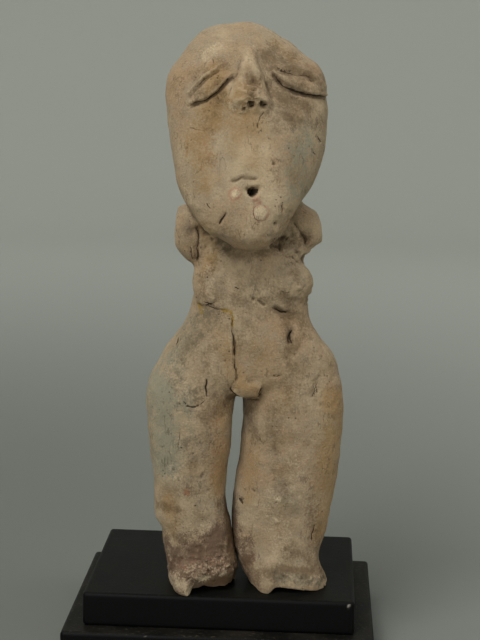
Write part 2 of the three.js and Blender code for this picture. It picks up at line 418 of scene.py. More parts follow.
@dataclass(frozen=True)
class Limb:
    """A roll of clay: superellipse levels, smoothed between, from its lower to its upper end.

    A level is z, x, y, half width, depth before the centre, depth behind it and, on the head and torso, the
    power of its superellipse, which is otherwise the limb's own.
    """

    levels: tuple[tuple[float, ...], ...]
    square: float = 2.5
    step: float = 0.8
    sides: int = 90
    fewest_rows: int = 8

    def shell(self) -> Shell:
        """Rings x + wide c|c|^(2/square - 1), y + depth s|s|^(2/square - 1) over an angle, stacked in z.

        Returns:
            The closed shell, in mm.
        """
        levels = np.array([(*level, self.square)[:LEVEL_NUMBERS] for level in self.levels])
        rows = max(self.fewest_rows, round((levels[-1, 0] - levels[0, 0]) / self.step))
        heights = np.linspace(levels[0, 0], levels[-1, 0], rows + 1)
        return closed_tube(superellipse_rings(smooth_levels(levels, heights), self.sides))


def smooth_levels(levels: np.ndarray, heights: np.ndarray) -> np.ndarray:
    """Runs a cubic through levels, with slopes taken across each level's neighbours.

    Args:
        levels: one level per row, its height first, rising.
        heights: where to read the cubic.

    Returns:
        A level for each height.
    """
    z = levels[:, 0]
    ahead = np.minimum(np.arange(len(z)) + 1, len(z) - 1)
    behind = np.maximum(np.arange(len(z)) - 1, 0)
    slope = (levels[ahead] - levels[behind]) / (z[ahead] - z[behind])[:, None]
    i = np.clip(np.searchsorted(z, heights, side="right") - 1, 0, len(z) - 2)
    span = (z[i + 1] - z[i])[:, None]
    t = (heights - z[i])[:, None] / span
    start, end = slope[i] * span, slope[i + 1] * span
    rise = levels[i + 1] - levels[i]
    values = levels[i] + t * (start + t * (3 * rise - 2 * start - end + t * (start + end - 2 * rise)))
    values[:, 0] = heights
    return values


def superellipse_rings(levels: np.ndarray, sides: int) -> np.ndarray:
    """One closed superellipse per level, counter-clockwise from above.

    Args:
        levels: z, x, y, wide, front, back and square, one level per row.
        sides: points round each ring.

    Returns:
        An array of levels by sides by 3.
    """
    z, x, y, wide, front, back, square = levels.T[:, :, None]
    angle = np.linspace(0, 2 * np.pi, sides, endpoint=False)[None, :]
    power = 2 / square
    across = np.sign(np.cos(angle)) * np.abs(np.cos(angle)) ** power
    along = np.sign(np.sin(angle)) * np.abs(np.sin(angle)) ** power
    depth = np.where(along < 0, front, back)
    return np.stack([x + wide * across, y + depth * along, z + 0 * across], axis=-1)


@dataclass(frozen=True)
class Lump:
    """A pressed-on lump: an ellipsoid tipped about Y by lean degrees, its top towards +X."""

    at: Point
    size: Point
    lean: float = 0.0
    last_ring: float = 87.0
    rings: int = 29
    sides: int = 48

    def shell(self) -> Shell:
        """Rings of cos(latitude) times the half sizes, at sin(latitude) times the half height.

        Returns:
            The closed shell, in mm.
        """
        latitude = np.radians(np.linspace(-self.last_ring, self.last_ring, self.rings))[:, None]
        angle = np.linspace(0, 2 * np.pi, self.sides, endpoint=False)
        unit = np.stack([
            np.cos(latitude) * np.cos(angle),
            np.cos(latitude) * np.sin(angle),
            np.repeat(np.sin(latitude), self.sides, axis=1),
        ], axis=-1) * np.array(self.size)
        tip = np.array(Matrix.Rotation(math.radians(self.lean), 3, "Y"))
        return closed_tube(unit @ tip.T + np.array(self.at))


class Profile(Enum):
    """How a mark's height falls off with the distance from its middle, in half widths."""

    SOFT = "bell"
    ROUND = "half round"
    FLAT = "flat with a steep edge"
    ROUGH = "broken, with a bell-shaped edge"
    STEP = "a sharp edge along the path, running out to its left"

    def height(self, distance: np.ndarray) -> np.ndarray:
        """1 in the middle to 0 outside.

        Args:
            distance: how far from the middle, in half widths.

        Returns:
            The share of the mark's height.
        """
        if self is Profile.ROUND:
            return np.sqrt(np.clip(1 - distance ** 2, 0, 1))
        if self is Profile.FLAT:
            return 1 - smoothstep(FLAT_SHARE, 1.0, distance)
        return np.exp(-distance ** 2)


@dataclass(frozen=True)
class Mark:
    """A swelling, dent or tool mark along a path of the photograph's pixels; its sizes are in mm."""

    name: str
    path: Path
    half_width: float
    lift: float
    profile: Profile = Profile.SOFT


@dataclass(frozen=True)
class Crack:
    """A crack or cut along a path of the photograph's pixels, with its half width and depth in mm."""

    name: str
    path: Path
    half_width: float
    depth: float


@dataclass(frozen=True)
class Eye:
    """An almond pad pressed on between two corners, in the photograph's pixels.

    Its lower lid and its slit bow away from the line between the corners by lower and slit pixels, positive
    up the picture. It drops steeply at the lower lid and runs out into the brow above the slit.
    """

    name: str
    outer: Pixel
    inner: Pixel
    slit: float
    lower: float
    lift: float
    fullest: float = 0.27
    at_slit: float = 0.62
    runs_out: float = 1.3
    plump: float = 0.4


@dataclass(frozen=True)
class NoseRidge:
    """A nose pinched up from the face, in the photograph's pixels.

    A station is v, the middle u, the half width in pixels and how far it stands out in mm. Across, it is
    flat over the inner part and slopes to nothing at the half width.
    """

    stations: tuple[tuple[float, float, float, float], ...]
    flat: float = 0.2
    pinch: float = 1.3


class Pigment(Enum):
    """What has stained the clay, and painted shade and painted light. The value is the name of the mesh
    attribute that holds it.
    """

    SOOT = "soot"
    LIME = "lime"
    CHALK = "chalk"
    PLASTER = "plaster"
    OCHRE = "ochre"
    ALGAE = "algae"
    SOIL = "soil"
    GLUE = "glue"
    ROSE = "rose"


@dataclass(frozen=True)
class Stain:
    """A stain along a path of the photograph's pixels; some stains are painted shade and some painted
    light.

    The half width is in mm, the strength goes from 0 to 1, and blur is the share of the half width over
    which the stain fades.
    """

    path: Path
    half_width: float
    strength: float
    blur: float = 1.0


def path_distance(pixels: np.ndarray, path: Path) -> tuple[np.ndarray, np.ndarray, np.ndarray]:
    """How far pixels lie from a path of straight stretches.

    Args:
        pixels: places, one pair per row.
        path: one corner or more.

    Returns:
        The distance, the side of the path as +1 or -1, and how far along the path from 0 to 1 the nearest
        place is, running past those at the open ends.
    """
    corners = np.array(path, dtype=float)
    if len(corners) == 1:
        apart = np.linalg.norm(pixels - corners[0], axis=1)
        return apart, np.ones(len(pixels)), np.full(len(pixels), 0.5)
    lengths = np.linalg.norm(np.diff(corners, axis=0), axis=1)
    starts = np.concatenate([[0], np.cumsum(lengths)])
    best = np.full(len(pixels), np.inf)
    side, along = np.ones(len(pixels)), np.zeros(len(pixels))
    for n, (a, b) in enumerate(zip(corners[:-1], corners[1:])):
        way = (b - a) / lengths[n]
        offset = pixels - a
        reach = offset @ way
        low = -np.inf if n == 0 else 0.0
        high = np.inf if n == len(lengths) - 1 else lengths[n]
        apart = np.linalg.norm(offset - np.clip(reach, 0, lengths[n])[:, None] * way, axis=1)
        nearer = apart < best
        best = np.where(nearer, apart, best)
        side = np.where(nearer, np.sign(way[0] * offset[:, 1] - way[1] * offset[:, 0]), side)
        along = np.where(nearer, (starts[n] + np.clip(reach, low, high)) / starts[-1], along)
    return best, side, along


@dataclass
class PhotoFront:
    """The vertices of a mesh as the photograph sees them, so that marks are drawn where it shows them."""

    camera: PhotoCamera
    points: np.ndarray
    normals: np.ndarray
    bin_px: float = 3.0
    facing: Span = (0.02, 0.3)
    facing_wide: Span = (-0.5, 0.1)
    hidden: Span = (3.0, 5.0)
    hidden_wide: Span = (8.0, 14.0)
    broad: float = 1.0
    wander_across: tuple[Waviness, ...] = (Waviness(2.4, 0.7, 61, 1), Waviness(0.9, 0.7, 67, 1))
    wander_down: tuple[Waviness, ...] = (Waviness(2.4, 0.7, 62, 1), Waviness(0.9, 0.7, 68, 1))
    crumbs: Waviness = Waviness(1.0, 1.0, 71)
    step_edge: float = 0.15
    step_ends: Span = (0.05, 0.1)

    def __post_init__(self) -> None:
        """Works out each vertex's pixel, its mm for each pixel, and how squarely it faces the camera.

        A vertex fades out if another in its square of the picture is nearer, from the first to the second
        number of mm in hidden. Broad marks reach a little round the edge, with weights of their own.
        """
        self.pixels, depth = self.camera.project(self.points)
        wander = [
            sum(wave.at(self.points) for wave in waves) for waves in (self.wander_across, self.wander_down)
        ]
        self.ragged = self.pixels + np.stack(wander, axis=-1)
        self.mm_per_px = depth / self.camera.focal_px
        towards = np.array(self.camera.place) - self.points
        towards /= np.linalg.norm(towards, axis=1)[:, None]
        square = np.sum(towards * self.normals, axis=1)
        cells = np.floor(self.pixels / self.bin_px).astype(int)
        nearest = np.full(cells.max(axis=0) + 1, np.inf)
        turned = square > 0
        np.minimum.at(nearest, tuple(cells[turned].T), depth[turned])
        behind = depth - nearest[tuple(cells.T)]
        self.weight = smoothstep(*self.facing, square) * (1 - smoothstep(*self.hidden, behind))
        seen_wide = 1 - smoothstep(*self.hidden_wide, behind)
        self.wide_weight = smoothstep(*self.facing_wide, square) * seen_wide

    def distance(self, path: Path) -> tuple[np.ndarray, np.ndarray, np.ndarray]:
        """As path_distance, with the distance in mm on the figurine and an uneven edge."""
        apart, side, along = path_distance(self.ragged, path)
        return apart * self.mm_per_px, side, along

    def height(self, mark: Mark) -> np.ndarray:
        """How far a mark lifts each vertex, in mm.

        Args:
            mark: what is drawn.

        Returns:
            One height per vertex.
        """
        wide = mark.half_width > self.broad
        stepped = mark.profile is Profile.STEP
        pixels = self.pixels if wide and not stepped else self.ragged
        apart, side, along = path_distance(pixels, mark.path)
        apart = apart * self.mm_per_px
        height = mark.profile.height(apart / mark.half_width)
        if stepped:
            height *= 1 - smoothstep(-self.step_edge, self.step_edge, apart * side)
            height *= run_out(along, *self.step_ends)
        if mark.profile is Profile.ROUGH:
            height *= self.crumbs.at(self.points)
        return mark.lift * height * (self.wide_weight if wide else self.weight)

    def pad(self, eye: Eye) -> np.ndarray:
        """How far an eye lifts each vertex, in mm.

        With s from 0 at the lower lid to 1 at the slit, the height is a quarter ellipse up to the fullest
        place, then eases down to at_slit, and runs out above the slit. Both lids are parabolas.

        Args:
            eye: what is pressed on.

        Returns:
            One height per vertex.
        """
        outer, inner = np.array(eye.outer), np.array(eye.inner)
        length = np.linalg.norm(inner - outer)
        way = (inner - outer) / length
        up = np.array([way[1], -way[0]]) * np.sign(way[0])
        t = np.clip((self.pixels - outer) @ way / length, 0, 1)
        bow = np.maximum(4 * t * (1 - t), LEAST_BOW)
        rise = (self.pixels - outer) @ up
        s = (rise - eye.lower * bow) / ((eye.slit - eye.lower) * bow)
        steep = np.sqrt(np.clip(1 - ((eye.fullest - s) / eye.fullest) ** 2, 0, 1))
        gentle = 1 - (1 - eye.at_slit) * smoothstep(eye.fullest, 1.0, s)
        fade = 1 - smoothstep(1.0, 1.0 + eye.runs_out, s)
        return eye.lift * np.where(s < eye.fullest, steep, gentle * fade) * bow ** eye.plump * self.weight

    def nose(self, ridge: NoseRidge) -> np.ndarray:
        """How far the nose lifts each vertex, in mm.

        Args:
            ridge: what is pinched up.

        Returns:
            One height per vertex.
        """
        v, u, half, out = np.array(ridge.stations).T
        down = self.pixels[:, 1]
        aside = np.abs(self.pixels[:, 0] - np.interp(down, v, u)) / np.interp(down, v, half)
        slope = np.clip((1 - aside) / (1 - ridge.flat), 0, 1)
        return np.interp(down, v, out, 0, 0) * np.sin(slope * np.pi / 2) ** ridge.pinch * self.weight

    def stain(self, stain: Stain) -> np.ndarray:
        """How strongly a stain shows at each vertex, from 0 to 1.

        Args:
            stain: what is drawn.

        Returns:
            One share per vertex.
        """
        apart, _, _ = self.distance(stain.path)
        fade = 1 - smoothstep(1 - stain.blur, 1.0, apart / stain.half_width)
        return stain.strength * fade * (self.wide_weight if stain.half_width > self.broad else self.weight)


@dataclass(frozen=True)
class FootChip:
    """A broken place under a foot, in the figurine's own mm.

    It reaches from left to right and back, and is as high as height, which it gains over edge on its left
    and loses over runs_out on its right. Below the rim the front of the foot is scooped back by scoop.
    Ragged scales the unevenness of its edge, which wander and rim_wander bring to its sides and its rim.
    Hollow is the power of the scoop, which fades out over scooped from front to back.
    """

    left: float
    right: float
    back: float
    height: float
    edge: float
    runs_out: float
    rim: float
    scoop: float
    ragged: float
    back_edge: float = 4.0
    wander: float = 0.6
    rim_wander: float = 0.25
    hollow: float = 0.7
    scooped: Span = (-6.0, 0.0)


FOOT_CHIPS = (
    FootChip(
        left=-13.0, right=-2.0, back=0.0, height=1.35, edge=1.2, runs_out=2.2,
        rim=3.8, scoop=2.2, ragged=1.2,
    ),
    FootChip(
        left=6.4, right=7.2, back=-1.0, height=1.2, edge=2.2, runs_out=10.0,
        rim=2.4, scoop=0.0, ragged=0.5,
    ),
)


def ring_path(centre: Pixel, radius: float, stretches: int = 20) -> Path:
    """A closed circle as a path of straight stretches, in pixels."""
    angle = np.linspace(0, 2 * np.pi, stretches + 1)
    return tuple(zip(centre[0] + radius * np.cos(angle), centre[1] + radius * np.sin(angle)))


# Broad swellings and hollows that the hand left on the face, chest and legs.
FORMS = (
    Mark("forehead ridge", ((248, 30), (252, 44), (252, 60)), 4.2, 0.9),
    Mark("right forehead plane", ((282, 46), (302, 62)), 4.4, -1.3),
    Mark("left forehead plane", ((196, 60), (212, 48)), 4.5, 0.4),
    Mark("left eye socket", ((230, 66), (228, 76)), 2.4, -0.5),
    Mark("right eye socket", ((267, 68), (270, 80)), 2.2, -1.0),
    Mark("left of the nose", ((228, 84), (224, 98), (226, 110)), 2.0, -0.25),
    Mark("right of the nose", ((273, 88), (277, 100), (274, 112)), 2.4, -0.6),
    Mark("right cheek turn", ((272, 118), (282, 140), (286, 170), (284, 204)), 3.4, 1.0),
    Mark("right cheek plane", ((308, 112), (310, 150), (304, 186)), 5.0, -0.7),
    Mark("left cheek turn", ((186, 112), (186, 150), (190, 170)), 2.6, 0.5),
    Mark("left cheek hollow", ((208, 120), (206, 150)), 4.0, -0.5),
    Mark("muzzle", ((244, 196), (250, 230)), 7.0, 0.5),
    Mark("upper lip", ((250, 128), (249, 160)), 3.5, 0.5),
    Mark("left breast ridge", ((208, 268), (211, 282), (212, 296)), 1.2, 0.5),
    Mark("under the right breast", ((276, 313), (292, 319)), 1.8, -0.9),
    Mark("belly hollow", ((287, 322), (290, 346)), 2.4, -0.5),
    Mark("belly swell", ((256, 350), (262, 366)), 5.0, 0.6),
    Mark("left hip hollow", ((206, 330), (200, 350)), 3.0, -0.5),
    Mark("left shoulder fold", ((193, 232), (194, 262)), 1.3, -0.9),
    Mark("right shoulder hollow", ((305, 240),), 1.7, -1.2),
    Mark("left neck recess", ((216, 243), (227, 249)), 1.3, -0.9),
    Mark("right neck recess", ((278, 245), (286, 239)), 1.2, -1.2),
    Mark("right neck hollow", ((282, 246), (292, 256)), 2.0, -0.6),
    Mark("right shin groove", ((280, 415), (275, 452)), 1.8, -0.5),
    Mark("right shin ridge", ((296, 420), (298, 500)), 2.6, 0.4),
    Mark("right shin plane", ((322, 440), (318, 500)), 3.0, -0.4),
    Mark("left shin ledge", ((157, 524), (170, 530)), 1.4, -0.5),
    Mark("burnt shin", ((190, 548), (214, 552)), 4.0, 0.4),
    Mark("above the right toes", ((284, 569), (312, 570)), 1.6, -0.5),
    Mark("right heel swell", ((316, 577),), 2.6, 0.6),
    Mark("right ankle hollow", ((317, 553),), 2.4, -0.4),
)

# Pads of clay pressed on for the eyes, and the pinched nose.
EYES = (
    Eye("left eye", (186, 105), (233, 73), slit=8.5, lower=-7.5, lift=0.95),
    Eye("right eye", (330, 96), (271, 70), slit=7.0, lower=-9.0, lift=1.1),
)

NOSE = NoseRidge((
    (46, 249, 6, 0.0),
    (56, 249, 8, 0.7),
    (66, 249, 10, 1.3),
    (76, 250, 13, 1.7),
    (88, 250, 18, 2.3),
    (98, 250, 22, 2.8),
    (102, 251, 23, 2.9),
    (106, 252, 22, 2.3),
    (110, 254, 19, 0.9),
    (114, 254, 17, 0.0),
))

# Tool marks, pits and rims, finer than the forms.
DETAILS = (
    Mark("left eye slit", ((190, 97), (196, 88), (205, 79), (219, 70)), 0.36, -0.42),
    Mark("left upper lid", ((190, 93), (197, 83), (204, 76), (219, 66)), 0.5, 0.55),
    Mark("under the left eye", ((191, 107), (206, 102), (219, 92), (232, 78)), 0.34, -0.35),
    Mark("right eye slit", ((277, 71), (291, 74), (307, 76), (316, 81)), 0.34, -0.35),
    Mark("right eye pit", ((313, 80),), 0.8, -0.4),
    Mark("right upper lid", ((276, 65), (294, 67), (312, 73), (325, 86)), 0.6, 0.4),
    Mark("under the right eye", ((273, 76), (283, 88), (296, 94), (311, 97), (326, 99)), 0.34, -0.5),
    Mark("left nostril", ((251, 105.5),), 0.75, -1.8, Profile.ROUND),
    Mark("right nostril", ((264, 106),), 0.85, -1.8, Profile.ROUND),
    Mark("nose pit", ((244, 109),), 0.5, -0.9, Profile.ROUND),
    Mark("nose rim", ((229, 104), (234, 110), (243, 111), (247, 108)), 0.45, 0.3),
    Mark("worn bridge", ((251, 78), (254, 92)), 2.0, -0.6),
    Mark("worn bridge edge", ((244, 64), (240, 76), (235, 90), (231, 102)), 0.6, 0.3),
    Mark("broken nose front", ((250, 80), (252, 98)), 2.8, 0.5, Profile.ROUGH),
    Mark("broken nose base", ((236, 107), (262, 108)), 1.2, 0.2, Profile.ROUGH),
    Mark("rough jaw", ((282, 206), (286, 216)), 1.8, 0.25, Profile.ROUGH),
    Mark("rough left breast", ((209, 270), (211, 296)), 1.6, 0.2, Profile.ROUGH),
    Mark("rough right breast", ((288, 276), (300, 296)), 4.0, 0.33, Profile.ROUGH),
    Mark("rough shoulder", ((282, 240), (300, 252)), 3.0, 0.55, Profile.ROUGH),
    Mark("rough left neck", ((206, 236), (216, 262)), 2.6, 0.35, Profile.ROUGH),
    Mark("rough hip", ((176, 384), (196, 402)), 4.0, 0.25, Profile.ROUGH),
    Mark("rough right hip", ((312, 380), (316, 400)), 2.6, 0.3, Profile.ROUGH),
    Mark("burnt crust", ((180, 562), (222, 554)), 5.5, 0.42, Profile.ROUGH),
    Mark("broken left rim", ((196, 579), (206, 574), (216, 573), (231, 570)), 1.4, 0.45, Profile.ROUGH),
    Mark("rough right toes", ((282, 578), (320, 580)), 2.2, 0.4, Profile.ROUGH),
    Mark("jaw pit upper", ((283, 206), (284, 210)), 0.4, -0.5),
    Mark("jaw pit lower", ((290, 212),), 0.4, -0.5),
    Mark("scar over the mouth", ((232, 182), (243, 178.5), (255, 179)), 0.44, -0.52),
    Mark("mouth", ((253, 192),), 1.15, -3.2, Profile.ROUND),
    Mark("mouth tear", ((248, 190), (253, 192), (258, 189)), 0.5, -1.2),
    Mark("left pale disc", ((235, 194),), 1.3, 0.2, Profile.FLAT),
    Mark("right pale disc", ((260.5, 213),), 1.8, 0.15, Profile.FLAT),
    Mark("cheek pit", ((274, 163),), 0.5, -0.5),
    Mark("jaw pit", ((276, 224),), 0.5, -0.7),
    Mark("chest pit one", ((254, 299),), 0.4, -0.6),
    Mark("chest pit two", ((259, 301), (264, 304)), 0.4, -0.6),
    Mark("belly puncture", ((291, 331), (289.5, 336), (291, 343)), 0.6, -1.6),
    Mark("right breast crease", ((274, 308), (280, 312), (288, 313)), 0.45, -0.6),
    Mark("belly pit one", ((286, 358),), 0.4, -0.4),
    Mark("belly pit two", ((294, 355),), 0.4, -0.5),
    Mark("flap", (
        (231, 389), (237, 394), (246, 396), (258, 398), (261, 392), (262, 384),
    ), 4.0, 0.8, Profile.STEP),
    Mark("lip above the break", ((195, 303), (208, 305), (222, 309), (230, 311)), 1.5, 0.25, Profile.STEP),
    Mark("lip of the break", (
        (236, 384), (234, 360), (233, 338), (231, 318), (229, 312),
    ), 2.0, 0.35, Profile.STEP),
    Mark("left hip spot", ((181, 359),), 0.4, -0.4),
    Mark("belly pit three", ((225, 360),), 0.35, -0.35),
    Mark("shoulder notch", ((303, 260),), 0.6, -0.6),
    Mark("neck pit", ((272, 247),), 0.5, -0.7),
    Mark("left knee pit", ((201, 478), (203, 475)), 0.3, -0.4),
    Mark("right shin pit", ((241, 500),), 0.5, -0.6),
    Mark("right shin pit two", ((253, 491),), 0.4, -0.5),
    Mark("lime blob one", ((276, 429),), 0.6, 0.25),
    Mark("lime blob two", ((279, 499),), 0.7, 0.25),
    Mark("lime blob three", ((276, 521),), 0.7, 0.25),
)

# Cracks, cuts and the glued break.
CRACKS = (
    Crack("break across the hip", (
        (195, 303), (202, 306), (208, 305), (215, 309), (222, 309), (230, 311),
    ), 0.045, 0.14),
    Crack("break down the belly", (
        (230, 311), (231, 318), (232.5, 324), (231.5, 331), (233.5, 338), (234.5, 345), (233.5, 352),
        (234.5, 360), (235, 368), (236.5, 376), (236, 384),
    ), 0.07, 0.4),
    Crack("break widest", ((233.5, 337), (234.5, 344), (234, 350), (234.5, 357)), 0.18, 0.6),
    Crack("left lower lid", ((190, 105), (206, 100), (219, 90), (231, 76)), 0.12, 0.15),
    Crack("left eye slit", ((191, 94), (196, 87), (204, 79), (219, 70)), 0.06, 0.1),
    Crack("right lower lid", ((274, 75), (283, 86), (296, 92), (311, 95), (327, 97)), 0.2, 0.25),
    Crack("right eye slit", ((277, 71), (291, 74), (307, 76), (316, 81)), 0.075, 0.1),
    Crack("right eye inner fold", ((275, 67), (283, 71), (293, 71)), 0.09, 0.2),
    Crack("left nostril depth", ((250, 105.5), (253, 105)), 0.45, 0.0),
    Crack("right nostril depth", ((262, 106), (266, 105.5)), 0.55, 0.0),
    Crack("mouth depth", ((250, 191), (253, 192.5), (257, 190)), 0.7, 0.0),
    Crack("under the nose", ((264, 112), (260, 117), (258, 124), (257, 128)), 0.081, 0.2),
    Crack("right cheek one", ((317, 135), (319, 140), (322, 143)), 0.11, 0.24),
    Crack("right cheek two", ((312, 152), (316, 155), (318, 161)), 0.081, 0.16),
    Crack("chin cut", ((227, 212), (223, 219), (219, 225)), 0.15, 0.48),
    Crack("pale disc outline", ring_path((260.5, 213), 8.0), 0.05, 0.05),
    Crack("left arm fold", ((196, 226), (199, 238), (197, 250), (198, 262)), 0.13, 0.45),
    Crack("left arm cut", ((190, 246), (193, 260)), 0.07, 0.15),
    Crack("right arm fold", ((292, 222), (300, 231), (305, 239), (306, 246)), 0.09, 0.4),
    Crack("right breast crease", ((274, 309), (280, 312), (287, 313)), 0.14, 0.3),
    Crack("belly puncture depth", ((291.5, 330), (289.5, 334), (290, 339), (292, 344)), 0.22, 0.0),
    Crack("flap left edge", ((230, 387), (234, 393), (238, 396)), 0.14, 0.35),
    Crack("right breast hairline", ((278, 289), (285, 293), (291, 292)), 0.05, 0.1),
    Crack("chest nick", ((235, 287), (240, 289)), 0.08, 0.15),
    Crack("left breast foot", ((203, 301), (209, 304), (215, 302)), 0.09, 0.2),
    Crack("left hip nick", ((179, 337), (176, 346)), 0.11, 0.25),
    Crack("chin hairline", ((206, 203), (211, 210)), 0.06, 0.08),
    Crack("left cheek hairline", ((188, 128), (199, 130), (207, 133)), 0.06, 0.08),
    Crack("brow nick", ((212, 58), (214, 64)), 0.08, 0.15),
    Crack("left thigh cut", ((207, 378), (205.5, 387), (207, 398)), 0.18, 0.5),
    Crack("left thigh arc", ((181, 400), (190, 407), (200, 405)), 0.1, 0.12),
    Crack("left thigh arc two", ((184, 406), (195, 408), (206, 400)), 0.08, 0.1),
    Crack("flap edge", ((258, 397), (261, 388)), 0.19, 0.48),
    Crack("flap foot", ((245, 398), (252, 400), (258, 399)), 0.1, 0.25),
    Crack("belly nick", ((273, 375), (276, 377), (280, 376)), 0.12, 0.32),
    Crack("hip hairline one", ((312, 384), (315, 391), (311, 398)), 0.07, 0.06),
    Crack("hip hairline two", ((319, 378), (316, 386), (318, 394)), 0.07, 0.06),
    Crack("right ankle", ((314, 524), (311, 542)), 0.099, 0.24),
    Crack("right shin hole", ((239, 498), (241, 501), (242, 504)), 0.22, 0.3),
    Crack("left knee line", ((180, 430), (178, 450)), 0.08, 0.12),
)
